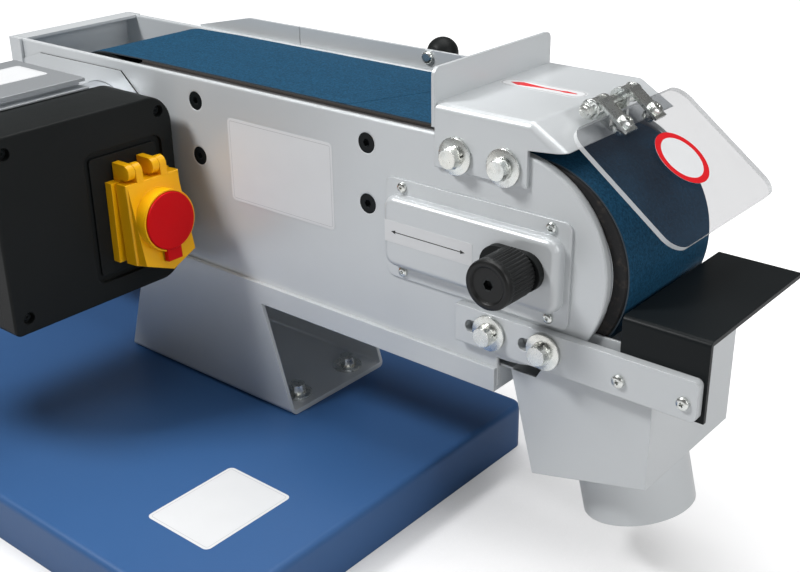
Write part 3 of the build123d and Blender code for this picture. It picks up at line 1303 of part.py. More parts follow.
def switch_lid():
    lid = front_plate(lid_face(), LID_BACK, LID_DEPTH)
    lid = fillet(lid.edges().group_by(Axis.X)[-1], LID_EDGE)
    lid += lid_swell(LID_STEP, 0, LID_SWELL)
    lid += rod_x(LID_Y, SWITCH_Z, LID_FRONT, STOP_RING / 2, LID_BOSS + STOP_RING_DEPTH)
    room = Pos(LID_Y, SWITCH_Z) * Circle(STOP_DISC / 2 + SLIDE_GAP)
    notch = STOP_TAB_WIDTH / 2 + SLIDE_GAP
    room += rectangle(LID_Y - notch, LID_Y + notch, SWITCH_Z - STOP_TAB_DROP - SLIDE_GAP, SWITCH_Z)
    lid -= front_plate(room, LID_BOSS_FACE, STOP_RING_DEPTH)
    lid -= front_plate(lid_face(LID_WALL), LID_BACK, LID_DEPTH - LID_WALL)
    lid -= lid_swell(LID_STEP + LID_WALL, LID_WALL, LID_BOSS)
    lid -= rod_x(LID_Y, SWITCH_Z, LID_FRONT - LID_WALL, STOP_RING / 2 - LID_WALL, LID_BOSS)
    lug = rectangle(LID_BACK, HINGE_X + LUG_RADIUS, SWITCH_TOP - LID_WALL, HINGE_Z)
    lug += Pos(HINGE_X, HINGE_Z) * Circle(LUG_RADIUS)
    lug -= Pos(HINGE_X, HINGE_Z) * Circle(LUG_PIN / 2 + RUNNING_FIT)
    for y in base_lug_places():
        lid += side_plate(lug, y + LUG_WIDTH + SLIDE_GAP, LUG_WIDTH)
    bore = STOP_STEM / 2 + SLIDE_GAP
    return set_ajar(lid - rod_x(LID_Y, SWITCH_Z, LID_BOSS_FACE - LID_WALL, bore, LID_WALL))


def stop_button():
    disc = rod_x(LID_Y, SWITCH_Z, STOP_BACK, STOP_DISC / 2, STOP_DISC_DEPTH)
    disc = fillet(disc.edges().group_by(Axis.X)[-1], STOP_DISC_EDGE)
    half = STOP_TAB_WIDTH / 2
    tab = rectangle(LID_Y - half, LID_Y + half, SWITCH_Z - STOP_TAB_DROP, SWITCH_Z)
    keeper_back = LID_BOSS_FACE - LID_WALL - SLIDE_GAP - STOP_KEEPER_DEPTH
    button = disc + front_plate(tab, STOP_BACK, STOP_TAB_DEPTH)
    button += rod_x(LID_Y, SWITCH_Z, keeper_back, STOP_STEM / 2, STOP_BACK - keeper_back)
    return set_ajar(button + rod_x(LID_Y, SWITCH_Z, keeper_back, STOP_KEEPER / 2, STOP_KEEPER_DEPTH))


NODES = (
    base_pan,
    stand,
    stand_bolts,
    floor_tray,
    near_side_plate,
    far_side_plate,
    rear_guard,
    platen,
    platen_pad,
    platen_screws,
    abrasive_belt,
    motor_mount_plate,
    motor_front_bell,
    motor_housing,
    motor_rear_bell,
    motor_bearings,
    fan_cover,
    rotor_shaft,
    cooling_fan,
    drive_drum,
    contact_wheel,
    wheel_tyre,
    wheel_bearings,
    wheel_axle,
    axle_slide,
    tension_springs,
    tracking_cover,
    cover_screws,
    knob_base,
    tracking_knob,
    knob_spindle,
    hood,
    hood_bolts,
    stop_plate,
    shield_bracket,
    shield_pivot,
    shield_straps,
    shield_screws,
    eye_shield,
    rest_arm,
    arm_bolts,
    work_table,
    table_screws,
    dust_chute,
    dust_spigot,
    rear_fence,
    access_door,
    door_brackets,
    door_knob,
    knob_bolt,
    switch_box,
    box_lid,
    box_screws,
    switch_panel,
    switch_base,
    switch_core,
    start_button,
    off_button,
    switch_lid,
    stop_button,
)


def main():
    os.makedirs("parts", exist_ok=True)
    to_footprint = Pos(-FOOTPRINT_X, -FOOTPRINT_Y, 0)
    for node in NODES:
        piece = node()
        if isinstance(piece, list):
            solids = [to_footprint * solid for part in piece for solid in part.solids()]
            piece = Compound(children=solids)
        else:
            piece = to_footprint * piece
        export_step(piece, f"parts/{node.__name__}.step")


main()
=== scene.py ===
import json
import math

import bmesh
import bpy
from mathutils import Matrix, Vector


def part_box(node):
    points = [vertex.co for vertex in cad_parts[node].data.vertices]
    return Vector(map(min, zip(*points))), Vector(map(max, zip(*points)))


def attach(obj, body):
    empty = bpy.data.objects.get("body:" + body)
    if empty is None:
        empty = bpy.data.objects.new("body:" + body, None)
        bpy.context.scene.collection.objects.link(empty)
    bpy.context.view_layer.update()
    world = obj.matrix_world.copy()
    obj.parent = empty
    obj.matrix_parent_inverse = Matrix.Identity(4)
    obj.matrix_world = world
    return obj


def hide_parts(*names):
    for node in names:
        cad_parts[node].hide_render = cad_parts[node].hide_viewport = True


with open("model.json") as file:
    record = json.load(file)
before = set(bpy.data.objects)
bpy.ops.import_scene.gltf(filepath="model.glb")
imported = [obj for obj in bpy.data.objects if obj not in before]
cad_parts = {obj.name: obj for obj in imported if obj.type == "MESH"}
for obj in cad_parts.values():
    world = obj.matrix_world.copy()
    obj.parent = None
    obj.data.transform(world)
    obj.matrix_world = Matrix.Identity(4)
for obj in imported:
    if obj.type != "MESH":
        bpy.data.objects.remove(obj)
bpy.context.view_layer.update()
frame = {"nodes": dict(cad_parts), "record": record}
scene = bpy.context.scene
mm = 0.001

baseLow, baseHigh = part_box("base_pan")
home = Vector(((baseLow.x + baseHigh.x) / 2, (baseLow.y + baseHigh.y) / 2, 0))


def at(x, y, z):  # millimetres from the middle of the base, on the bench
    return home + Vector((x, y, z)) * mm


print("frame loaded", len(frame["nodes"]), "nodes")


class Wire:  # one output of a node; sums on it add Math nodes
    def __init__(self, look, socket):
        self.look = look
        self.socket = socket

    def math(self, operation, first, second):
        return self.look.node("Math", {"operation": operation}, {0: first, 1: second})

    def __add__(self, other):
        return self.math("ADD", self, other)

    def __radd__(self, other):
        return self.math("ADD", other, self)

    def __sub__(self, other):
        return self.math("SUBTRACT", self, other)

    def __rsub__(self, other):
        return self.math("SUBTRACT", other, self)

    def __mul__(self, other):
        return self.math("MULTIPLY", self, other)

    def swing(self, spread):  # noise turned into a change either way
        return (self - 0.5) * spread


softEdge = {"samples": 6, "fullTurn": 0.12}


class Look:  # one finish and the nodes behind it
    def __init__(self, name, **sockets):
        self.material = bpy.data.materials.new(name)
        self.material.use_nodes = True
        self.tree = self.material.node_tree
        self.shader = self.tree.nodes["Principled BSDF"]
        self.place = self.node("TexCoord", out="Object")
        for key, value in sockets.items():
            self.set(key, value)

    def node(self, kind, settings=None, inputs=None, out=0):
        made = self.tree.nodes.new("ShaderNode" + kind)
        for key, value in (settings or {}).items():
            setattr(made, key, value)
        for key, value in (inputs or {}).items():
            self.feed(made.inputs[key], value)
        return Wire(self, made.outputs[out])

    def feed(self, socket, value):
        if isinstance(value, Wire):
            self.tree.links.new(value.socket, socket)
        elif socket.type == "RGBA" and len(value) == 3:
            socket.default_value = (*value, 1)
        else:
            socket.default_value = value

    def set(self, key, value):
        self.feed(self.shader.inputs[key.replace("_", " ")], value)

    def noise(self, scale, detail=2.0, rough=0.5, place=None):
        inputs = {"Scale": scale, "Detail": detail, "Roughness": rough}
        return self.node("TexNoise", None, {"Vector": place or self.place, **inputs})

    def stretched(self, x, y, z):
        return self.node("Mapping", None, {"Vector": self.place, "Scale": (x, y, z)})

    def band(self, value, low, high):  # 0 below low, 1 above high
        inputs = {"Value": value, "From Min": low, "From Max": high}
        return self.node("MapRange", {"clamp": True}, inputs)

    def blend(self, factor, first, second):
        inputs = {0: factor, 6: first, 7: second}
        return self.node("Mix", {"data_type": "RGBA"}, inputs, out=2)

    def shades(self, factor, colour, dark, light):
        return self.blend(factor, shade(colour, dark), shade(colour, light))

    def dot(self, first, second):
        inputs = {0: first, 1: second}
        return self.node("VectorMath", {"operation": "DOT_PRODUCT"}, inputs, out="Value")

    def softened(self, radius):  # the normal with edges rounded off, radius in millimetres
        return self.node("Bevel", {"samples": softEdge["samples"]}, {"Radius": radius * mm})

    def nearEdge(self, soft):  # how far the rounded normal leaves the flat one
        turn = self.dot(soft, self.node("NewGeometry", out="True Normal"))
        return self.band(1 - turn, 0.0, softEdge["fullTurn"])

    def bump(self, height, strength, depth, normal=None):  # depth in millimetres
        inputs = {"Height": height, "Strength": strength, "Distance": depth * mm}
        if normal:
            inputs["Normal"] = normal
        self.set("Normal", self.node("Bump", None, inputs))


def shade(colour, factor):
    return tuple(min(1.0, c * factor) for c in colour)


powder = {
    "ior": 1.5, "cloud": (7, 4, 0.6), "shades": (0.93, 1.06),
    "fleck": (2600, 2), "fleckBand": (0.60, 0.78), "fleckShare": 0.35, "fleckShade": 1.16,
    "wearAndHighlightShade": 1.35, "roughSwing": 0.16, "roughEdge": 0.06,
    "peel": (850, 3), "peelFleck": 0.3, "peelDepth": 0.25,
}


def paintedSheet(name, colour, rough, peel, worn, edge=0.7, gloss=0.5, metal=0.0):  # powder coat
    look = Look(name, IOR=powder["ior"], Specular_IOR_Level=gloss, Metallic=metal)
    cloud = look.noise(*powder["cloud"])
    soft = look.softened(edge)
    rim = look.nearEdge(soft)
    fleck = look.noise(*powder["fleck"])
    base = look.shades(cloud, colour, *powder["shades"])
    flecks = look.band(fleck, *powder["fleckBand"]) * powder["fleckShare"]
    base = look.blend(flecks, base, shade(colour, powder["fleckShade"]))
    # Edges are lightened: partly edge wear, partly a painted highlight along folds and rounded
    # edges.
    look.set("Base Color", look.blend(rim * worn, base, shade(colour, powder["wearAndHighlightShade"])))
    look.set("Roughness", rough + cloud.swing(powder["roughSwing"]) + rim * powder["roughEdge"])
    skin = look.noise(*powder["peel"]) + fleck * powder["peelFleck"]
    look.bump(skin, peel, powder["peelDepth"], soft)
    return look.material


moulding = {
    "ior": 1.46, "cloud": (18, 3), "shades": (0.88, 1.12), "edge": 0.6,
    "roughSwing": 0.14, "roughEdge": 0.04, "grain": (4, 0.62), "grainDepth": 0.2,
}


def mouldedPlastic(name, colour, rough, grain, depth, gloss=0.5):
    look = Look(name, IOR=moulding["ior"], Specular_IOR_Level=gloss)
    cloud = look.noise(*moulding["cloud"])
    soft = look.softened(moulding["edge"])
    rim = look.nearEdge(soft)
    look.set("Base Color", look.shades(cloud, colour, *moulding["shades"]))
    look.set("Roughness", rough + cloud.swing(moulding["roughSwing"]) + rim * moulding["roughEdge"])
    look.bump(look.noise(grain, *moulding["grain"]), depth, moulding["grainDepth"], soft)
    return look.material


plating = {
    "edge": 0.3, "cloud": (160, 4, 0.65), "tint": (60, 2), "tintBand": (0.35, 0.7),
    "tinted": (0.95, 1, 1.05), "dullBand": (0.55, 0.8), "dull": 0.72, "roughSwing": 0.3,
    "grain": (1800, 2), "bump": (0.12, 0.1),
}


def brightZinc(name, colour, rough):
    look = Look(name, Metallic=1.0)
    soft = look.softened(plating["edge"])
    cloud = look.noise(*plating["cloud"])
    tint = look.band(look.noise(*plating["tint"]), *plating["tintBand"])
    pale = look.blend(tint, colour, tuple(c * t for c, t in zip(colour, plating["tinted"])))
    dull = look.band(cloud, *plating["dullBand"])
    look.set("Base Color", look.blend(dull, pale, shade(colour, plating["dull"])))
    look.set("Roughness", rough + cloud.swing(plating["roughSwing"]))
    look.bump(look.noise(*plating["grain"]), *plating["bump"], soft)
    return look.material


turning = {
    "edge": 0.4, "marks": (1, 3, 0.6), "stretch": (60, 4200, 60), "cloud": (40, 3),
    "shades": (0.82, 1.1), "markSwing": 0.2, "cloudSwing": 0.1, "bump": (0.15, 0.05),
}


def turnedSteel(name, colour, rough):  # fine tool marks round the Y axis
    look = Look(name, Metallic=1.0)
    soft = look.softened(turning["edge"])
    marks = look.noise(*turning["marks"], look.stretched(*turning["stretch"]))
    cloud = look.noise(*turning["cloud"])
    look.set("Base Color", look.shades(marks, colour, *turning["shades"]))
    uneven = rough + marks.swing(turning["markSwing"]) + cloud.swing(turning["cloudSwing"])
    look.set("Roughness", uneven)
    look.bump(marks, *turning["bump"], soft)
    return look.material


casting = {
    "metal": 0.85, "edge": 0.8, "sand": (900, 4, 0.7), "cloud": (14, 3),
    "shades": (0.9, 1.05), "roughSwing": 0.22, "bump": (0.3, 0.3),
}


def castAlloy(name, colour, rough):
    look = Look(name, Metallic=casting["metal"])
    soft = look.softened(casting["edge"])
    sand = look.noise(*casting["sand"])
    cloud = look.noise(*casting["cloud"])
    look.set("Base Color", look.shades(cloud, colour, *casting["shades"]))
    look.set("Roughness", rough + sand.swing(casting["roughSwing"]))
    look.bump(sand, *casting["bump"], soft)
    return look.material


coating = {
    "ior": 1.45, "gloss": 0.12, "cells": 1500, "cellShare": 0.5,
    "speck": (620, 3, 0.75), "speckBand": (0.36, 0.64),
    "fine": (1700, 2, 0.6), "glintBand": (0.56, 0.74), "glintShare": 0.5, "glint": 1.9,
    "streak": (1, 3, 0.6), "stretch": (26, 260, 26),
    "streakBand": (0.3, 0.75), "streakShare": 0.25, "streakShade": 0.9,
    "rough": 0.68, "roughSwing": 0.3, "bump": (0.5, 0.2),
}


def abrasiveGrain(name, grit, resin):  # blue grain in resin, seen on the belt's outer face
    look = Look(name, IOR=coating["ior"], Specular_IOR_Level=coating["gloss"])
    inputs = {"Vector": look.place, "Scale": coating["cells"]}
    cells = look.node("TexVoronoi", {"feature": "F1"}, inputs)
    speck = look.noise(*coating["speck"])
    fine = look.noise(*coating["fine"])
    streak = look.noise(*coating["streak"], look.stretched(*coating["stretch"]))
    body = look.blend(look.band(speck, *coating["speckBand"]), resin, grit)
    glints = look.band(fine, *coating["glintBand"]) * coating["glintShare"]
    body = look.blend(glints, body, shade(grit, coating["glint"]))
    streaks = look.band(streak, *coating["streakBand"]) * coating["streakShare"]
    look.set("Base Color", look.blend(streaks, body, shade(resin, coating["streakShade"])))
    look.set("Roughness", coating["rough"] + fine.swing(coating["roughSwing"]))
    look.bump(fine + cells * coating["cellShare"], *coating["bump"])
    return look.material


weaving = {
    "rough": 0.85, "threads": {"Scale": 480, "Distortion": 0.6}, "shades": (0.7, 1.25),
    "cloud": (30, 4), "wornShare": 0.5, "worn": 0.75, "bump": (0.5, 0.25),
}


def clothBack(name, colour):  # woven cloth: the belt's back and cut edges, and the pad
    look = Look(name, Roughness=weaving["rough"])
    inputs = {"Vector": look.place, **weaving["threads"]}
    across, along = (look.node("TexWave", {"bands_direction": way}, inputs) for way in "XY")
    weave = across * 0.5 + along * 0.5
    cloth = look.shades(weave, colour, *weaving["shades"])
    worn = look.noise(*weaving["cloud"]) * weaving["wornShare"]
    look.set("Base Color", look.blend(worn, cloth, shade(colour, weaving["worn"])))
    look.bump(weave, *weaving["bump"])
    return look.material


acrylic = {
    "rough": 0.13, "ior": 1.49, "edge": 0.5, "cutBand": (0.2, 0.6), "facing": 0.5,
    "scuff": (30, 4), "scuffBand": (0.5, 0.85), "ripple": (60, 2), "bump": (0.04, 0.3),
    "alpha": 0.24, "glanceAlpha": 0.40, "rimAlpha": 0.12, "cutAlpha": 0.36, "scuffAlpha": 0.02,
}


def clearSheet(name, tint, edgeTint, out):  # acrylic sheet, cloudier across its cut edges
    look = Look(name, Roughness=acrylic["rough"], IOR=acrylic["ior"])
    turn = look.dot(look.node("TexCoord", out="Normal"), out)
    cut = 1 - look.band(turn * turn, *acrylic["cutBand"])
    soft = look.softened(acrylic["edge"])
    rim = look.nearEdge(soft)
    slant = look.node("LayerWeight", None, {"Blend": acrylic["facing"]}, out="Facing")
    glance = slant * slant * slant * slant
    scuff = look.band(look.noise(*acrylic["scuff"]), *acrylic["scuffBand"])
    look.set("Base Color", look.blend(cut, tint, edgeTint))
    alpha = acrylic["alpha"] + glance * acrylic["glanceAlpha"] + rim * acrylic["rimAlpha"]
    look.set("Alpha", alpha + cut * acrylic["cutAlpha"] + scuff * acrylic["scuffAlpha"])
    look.bump(look.noise(*acrylic["ripple"]), *acrylic["bump"], soft)
    return look.material


rubber = {
    "gloss": 0.3, "edge": 0.6, "rub": (1, 4, 0.7), "stretch": (170, 60, 170), "fine": (900, 3),
    "dustBand": (0.52, 0.78), "dustShare": 0.55, "rimShare": 0.2,
    "rough": 0.66, "roughSwing": 0.2, "bumpRub": 0.5, "bump": (0.25, 0.2),
}


def wornRubber(name, colour, dust):  # tyre with grinding dust rubbed into it
    look = Look(name, Specular_IOR_Level=rubber["gloss"])
    soft = look.softened(rubber["edge"])
    rim = look.nearEdge(soft)
    rub = look.noise(*rubber["rub"], look.stretched(*rubber["stretch"]))
    fine = look.noise(*rubber["fine"])
    dusty = look.band(rub, *rubber["dustBand"]) * rubber["dustShare"] + rim * rubber["rimShare"]
    look.set("Base Color", look.blend(dusty, colour, dust))
    look.set("Roughness", rubber["rough"] + fine.swing(rubber["roughSwing"]))
    look.bump(fine + rub * rubber["bumpRub"], *rubber["bump"], soft)
    return look.material


filmStock = {
    "ior": 1.45, "cloud": (45, 4), "shades": (0.96, 1.02), "roughSwing": 0.12,
    "ripple": (420, 2), "bump": (0.06, 0.1),
}


def printedFilm(name, colour, rough):  # sticker stock
    look = Look(name, IOR=filmStock["ior"])
    cloud = look.noise(*filmStock["cloud"])
    look.set("Base Color", look.shades(cloud, colour, *filmStock["shades"]))
    look.set("Roughness", rough + cloud.swing(filmStock["roughSwing"]))
    look.bump(look.noise(*filmStock["ripple"]), *filmStock["bump"])
    return look.material


shield = {
    "pivot": (322.0, 101.5, 312.0), "tilt": 37.0, "level": 5.2, "strap": 2.0, "sheet": 3.0,
    "spread": 35.0, "screw": 19.5, "across": (0.3, 1, -0.2), "head": 9.5, "height": 3.2,
    "thread": 5.0, "nut": 8.0, "nutHeight": 3.0,
}
shieldTilt = math.radians(shield["tilt"])
shieldAlong = Vector((math.cos(shieldTilt), 0, -math.sin(shieldTilt)))
shieldOut = Vector((math.sin(shieldTilt), 0, math.cos(shieldTilt)))

greySheet = {"colour": (0.60, 0.625, 0.64), "rough": 0.34, "peel": 0.10, "metal": 0.2}
blueSheet = {"colour": (0.034, 0.102, 0.255), "rough": 0.42, "peel": 0.16, "gloss": 0.30}
blackSheet = {"colour": (0.0085, 0.0105, 0.0115), "rough": 0.36, "peel": 0.10, "gloss": 0.12}
grainedBlack = {"colour": (0.0105, 0.0118, 0.0118), "rough": 0.44, "gloss": 0.14}
knobBlack = {"colour": (0.009, 0.0095, 0.0095), "rough": 0.38, "gloss": 0.30}
yellow = {"colour": (0.95, 0.46, 0.003), "rough": 0.30, "gloss": 0.35}
red = {"colour": (0.60, 0.002, 0.005), "rough": 0.32, "gloss": 0.15}
green = {"colour": (0.03, 0.30, 0.07), "rough": 0.28}
smooth = {"grain": 900, "depth": 0.05}
clear = {"tint": (0.030, 0.036, 0.050), "edgeTint": (0.88, 0.90, 0.91)}

finishes = {
    # worn sets how much the edges are lightened, partly as wear and partly as a painted highlight.
    "grey_paint": paintedSheet("greyPaint", worn=0.25, **greySheet),
    "blue_paint": paintedSheet("bluePaint", worn=0.30, edge=1.2, **blueSheet),
    "black_paint": paintedSheet("blackPaint", worn=1.2, edge=0.9, **blackSheet),
    "zinc": brightZinc("brightZinc", (0.72, 0.72, 0.68), rough=0.27),
    "steel": turnedSteel("turnedSteel", (0.52, 0.52, 0.53), rough=0.34),
    "motor_alloy": castAlloy("motorAlloy", (0.56, 0.585, 0.61), rough=0.46),
    "belt": abrasiveGrain("abrasiveGrain", (0.015, 0.080, 0.155), (0.006, 0.034, 0.068)),
    "pad": clothBack("graphiteCloth", (0.030, 0.024, 0.020)),
    "tyre": wornRubber("hardRubber", (0.010, 0.010, 0.011), (0.085, 0.066, 0.052)),
    "black_plastic": mouldedPlastic("grainedPlastic", grain=1500, depth=0.22, **grainedBlack),
    "yellow_plastic": mouldedPlastic("yellowPlastic", **yellow, **smooth),
    "red_plastic": mouldedPlastic("redPlastic", **red, **smooth),
    "green_plastic": mouldedPlastic("greenPlastic", **green, **smooth),
    "clear_plastic": clearSheet("clearSheet", **clear, out=shieldOut),
}
extras = {
    "clothBack": clothBack("beltBacking", (0.060, 0.042, 0.030)),
    "cutEdge": clothBack("beltCutEdge", (0.035, 0.05, 0.065)),
    "whiteFilm": printedFilm("whiteFilm", (0.70, 0.71, 0.72), rough=0.38),
    "greyFilm": printedFilm("greyFilm", (0.46, 0.47, 0.48), rough=0.40),
    "redFilm": printedFilm("redFilm", (0.66, 0.006, 0.012), rough=0.38),
    "blackFilm": printedFilm("blackFilm", (0.015, 0.015, 0.016), rough=0.4),
    "knobPlastic": mouldedPlastic("knobPlastic", grain=1200, depth=0.10, **knobBlack),
    # On the side plates the lightened rounded top edge is largely a painted highlight along the
    # fold.
    "foldedPaint": paintedSheet("foldedPaint", worn=0.8, edge=3.4, **greySheet),
    "blackOxide": turnedSteel("blackOxide", (0.045, 0.048, 0.048), rough=0.45),
}
ownLooks = {
    "near_side_plate": "foldedPaint", "far_side_plate": "foldedPaint",
    # The drive drum takes the dark black oxide finish as painted shade, where its end shows beside
    # the belt.
    "knob_spindle": "blackOxide", "drive_drum": "blackOxide",
}
for part in frame["record"]["subparts"]:
    node = frame["nodes"][part["node"]]
    node.data.materials.clear()
    own = ownLooks.get(part["node"])
    node.data.materials.append(extras[own] if own else finishes[part["material_slot"]])
print("finishes ready", len(finishes) + len(extras))

weld = 1e-6
flatWithin = 1e-9
near = Vector((0, -1, 0))
far = Vector((0, 1, 0))
up = Vector((0, 0, 1))
ahead = Vector((1, 0, 0))
halfTurn = Matrix.Rotation(math.pi, 4, "X")


def addPiece(name, bm, body, looks, stands=(), crease=35):
    bmesh.ops.remove_doubles(bm, verts=bm.verts, dist=weld)
    bmesh.ops.recalc_face_normals(bm, faces=bm.faces)
    mesh = bpy.data.meshes.new(name)
    bm.to_mesh(mesh)
    bm.free()
    for look in looks:
        mesh.materials.append(look)
    mesh.shade_smooth()
    mesh.set_sharp_from_angle(angle=math.radians(crease))
    piece = bpy.data.objects.new(name, mesh)
    scene.collection.objects.link(piece)
    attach(piece, body)
    if stands:
        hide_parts(*stands)
    return piece


def facing(place, out, across):  # a frame whose Z points out of a surface
    out = Vector(out).normalized()
    across = Vector(across).normalized()
    turn = Matrix((across, out.cross(across), out)).transposed()
    return Matrix.Translation(place) @ turn.to_4x4()


def move(bm, verts, matrix):
    bmesh.ops.transform(bm, matrix=matrix, verts=verts)


def bevel(bm, geom, size, segments=2, affect="EDGES"):
    bmesh.ops.bevel(
        bm, geom=geom, offset=size, offset_type="OFFSET", segments=segments, profile=0.5,
        affect=affect, material=-1
    )


def extruded(bm, faces):  # the new corners and the new faces
    made = bmesh.ops.extrude_face_region(bm, geom=faces)["geom"]
    kinds = (bmesh.types.BMVert, bmesh.types.BMFace)
    return [[g for g in made if isinstance(g, kind)] for kind in kinds]


def outline(bm, points, closed=True):  # corners and the edges that join them
    corners = [bm.verts.new(point) for point in points]
    ends = corners[1:] + corners[:1] if closed else corners[1:]
    return corners, [bm.edges.new(pair) for pair in zip(corners, ends)]


def spin(bm, geom, angle, steps, rise=0.0, merge=False):  # round Z, rising at every step
    bmesh.ops.spin(
        bm, geom=geom, cent=(0, 0, 0), axis=(0, 0, 1), dvec=(0, 0, rise), angle=angle,
        steps=steps, use_merge=merge
    )


def disc(bm, radius, height, lift, sides, rim=0.0, matrix=Matrix()):
    made = bmesh.ops.create_cone(
        bm, cap_ends=True, segments=sides, radius1=radius, radius2=radius, depth=height
    )["verts"]
    move(bm, made, Matrix.Translation((0, 0, lift + height / 2)))
    around = {e for v in made for e in v.link_edges}
    flat = [e for e in around if abs(e.verts[0].co.z - e.verts[1].co.z) < flatWithin]
    move(bm, made, matrix)
    if rim:
        bevel(bm, flat, rim)


def drop(bm, part, matrix=Matrix()):  # sets a finished part down into another mesh
    move(part, part.verts, matrix)
    spare = bpy.data.meshes.new("spare")
    part.to_mesh(spare)
    part.free()
    bm.from_mesh(spare)
    bpy.data.meshes.remove(spare)


hexagon = {"points": 36, "face": 0.95, "inset": 0.01, "chamfer": 30.0}


def hexHead(bm, flats, height, lift, matrix):
    part = bmesh.new()
    made = bmesh.ops.create_circle(
        part, cap_ends=True, segments=hexagon["points"], radius=flats / 2
    )["verts"]
    for v in made:  # the circle is drawn out to a hexagon
        turn = (math.atan2(v.co.y, v.co.x) + math.pi / 6) % (math.pi / 3) - math.pi / 6
        v.co /= math.cos(turn)
    top, cap = extruded(part, part.faces[:])
    face = flats / 2 * hexagon["face"]
    slope = math.tan(math.radians(hexagon["chamfer"]))
    bmesh.ops.inset_region(part, faces=cap, thickness=flats * hexagon["inset"])
    middle = set(cap[0].verts)
    for v in middle:
        v.co *= face / v.co.xy.length
        v.co.z = height
    for v in set(top) - middle:
        v.co.z = height - (v.co.xy.length - face) * slope
    drop(bm, part, matrix @ Matrix.Translation((0, 0, lift)))


lockRing = {"steps": 36, "sweep": 350.0, "rise": 0.1}


def lockWasher(bm, bore, outer, height, lift, matrix):  # split ring that rises a little
    part = bmesh.new()
    half = height / 2
    section = ((bore, -half), (outer, -half), (outer, half), (bore, half))
    corners = [part.verts.new((r, 0, z)) for r, z in section]
    start = part.faces.new(corners)
    steps = lockRing["steps"]
    sweep = math.radians(lockRing["sweep"])
    spin(part, [start, *start.edges, *corners], sweep, steps, lockRing["rise"] * height / steps)
    drop(bm, part, matrix @ Matrix.Translation((0, 0, lift + half)))


boltHead = {
    "flats": 13.0, "height": 5.3, "washer": 24.0, "washerHeight": 2.0, "washerRim": 0.35,
    "lock": 14.2, "lockBore": 8.2, "lockHeight": 2.0, "shank": 8.0, "shankRim": 0.6, "nut": 6.5,
}
boltSides = {"washer": 48, "shank": 24}
boltTurn = {"first": 0.35, "step": 1.1}
boltCrease = 28


def hexBolt(bm, matrix, length, nutAt=None):
    size = {key: value * mm for key, value in boltHead.items()}
    seat = size["washerHeight"]
    reach = length * mm
    disc(bm, size["washer"] / 2, seat, 0, boltSides["washer"], size["washerRim"], matrix)
    lockWasher(bm, size["lockBore"] / 2, size["lock"] / 2, size["lockHeight"], seat, matrix)
    hexHead(bm, size["flats"], size["height"], seat + size["lockHeight"], matrix)
    disc(bm, size["shank"] / 2, reach, -reach, boltSides["shank"], size["shankRim"], matrix)
    if nutAt is not None:
        hexHead(bm, size["flats"], size["nut"], nutAt * mm, matrix @ halfTurn)


def boltGroup(name, node, places, length, nutAt=None):
    bm = bmesh.new()
    for i, matrix in enumerate(places):
        turn = Matrix.Rotation(boltTurn["first"] + boltTurn["step"] * i, 4, "Z")
        hexBolt(bm, matrix @ turn, length, nutAt)
    addPiece(name, bm, "frame", [finishes["zinc"]], [node], boltCrease)


hoodBolts = {"x": (252.5, 288.6), "y": 38.0, "z": 279.4, "length": 5.5}
hoodPlaces = [facing(at(x, hoodBolts["y"], hoodBolts["z"]), near, ahead) for x in hoodBolts["x"]]
boltGroup("hoodBolts", "hood_bolts", hoodPlaces, hoodBolts["length"])

armBolts = {"x": (283.0, 324.0), "y": 33.9, "z": 169.5, "length": 9.6}
armPlaces = [facing(at(x, armBolts["y"], armBolts["z"]), near, ahead) for x in armBolts["x"]]
boltGroup("armBolts", "arm_bolts", armPlaces, armBolts["length"])

standBolts = {"x": (-78.0, 78.0), "y": (61.5, 120.5), "z": 41.0, "length": 12.0, "nutAt": 5.5}
standPlaces = [
    facing(at(x, y, standBolts["z"]), up, ahead) for x in standBolts["x"] for y in standBolts["y"]
]
boltGroup("standBolts", "stand_bolts", standPlaces, standBolts["length"], standBolts["nutAt"])
print("bolts done")

crossScrew = {
    "recess": 0.52, "arm": 0.15, "depth": 0.62, "tipLength": 0.45, "tipWidth": 0.7,
    "dome": ((0, 0), (1, 0), (1, 0.32), (0.93, 0.66), (0.76, 0.88), (0.5, 1), (0, 1)),
    "domeSteps": 32, "shankSides": 20, "shankRim": 0.3, "crease": 30,
}


def crossTool(bm, head, height, matrix):  # two tapering blades that cut the recess
    size = (head * crossScrew["recess"], head * crossScrew["arm"], 2 * height * crossScrew["depth"])
    for turn in (0, math.pi / 2):
        made = bmesh.ops.create_cube(bm, size=1)["verts"]
        bmesh.ops.scale(bm, vec=size, verts=made)
        for v in made:
            if v.co.z < 0:
                v.co.x *= crossScrew["tipLength"]
                v.co.y *= crossScrew["tipWidth"]
        quarter = Matrix.Rotation(turn, 4, "Z")
        move(bm, made, matrix @ Matrix.Translation((0, 0, height)) @ quarter)


def panHead(bm, head, height, matrix):
    points = [(head / 2 * r, 0, height * z) for r, z in crossScrew["dome"]]
    corners, edges = outline(bm, points, closed=False)
    spin(bm, corners + edges, 2 * math.pi, crossScrew["domeSteps"], merge=True)
    bmesh.ops.remove_doubles(bm, verts=bm.verts, dist=weld)
    move(bm, bm.verts, matrix)


def cutAway(piece, cutter):  # the cut is made part of the mesh and the tool is thrown away
    tool = bpy.data.objects.new("tool", bpy.data.meshes.new("tool"))
    cutter.to_mesh(tool.data)
    cutter.free()
    scene.collection.objects.link(tool)
    cut = piece.modifiers.new("cut", "BOOLEAN")
    cut.operation = "DIFFERENCE"
    cut.solver = "EXACT"
    cut.use_self = True
    cut.object = tool
    bpy.context.view_layer.update()
    shown = piece.evaluated_get(bpy.context.evaluated_depsgraph_get())
    done = bpy.data.meshes.new_from_object(shown)
    piece.modifiers.clear()
    clean = bmesh.new()
    clean.from_mesh(done)
    bmesh.ops.dissolve_degenerate(clean, dist=weld, edges=clean.edges)
    clean.to_mesh(done)
    clean.free()
    piece.data = done
    bpy.data.objects.remove(tool)
    done.shade_smooth()
    done.set_sharp_from_angle(angle=math.radians(crossScrew["crease"]))


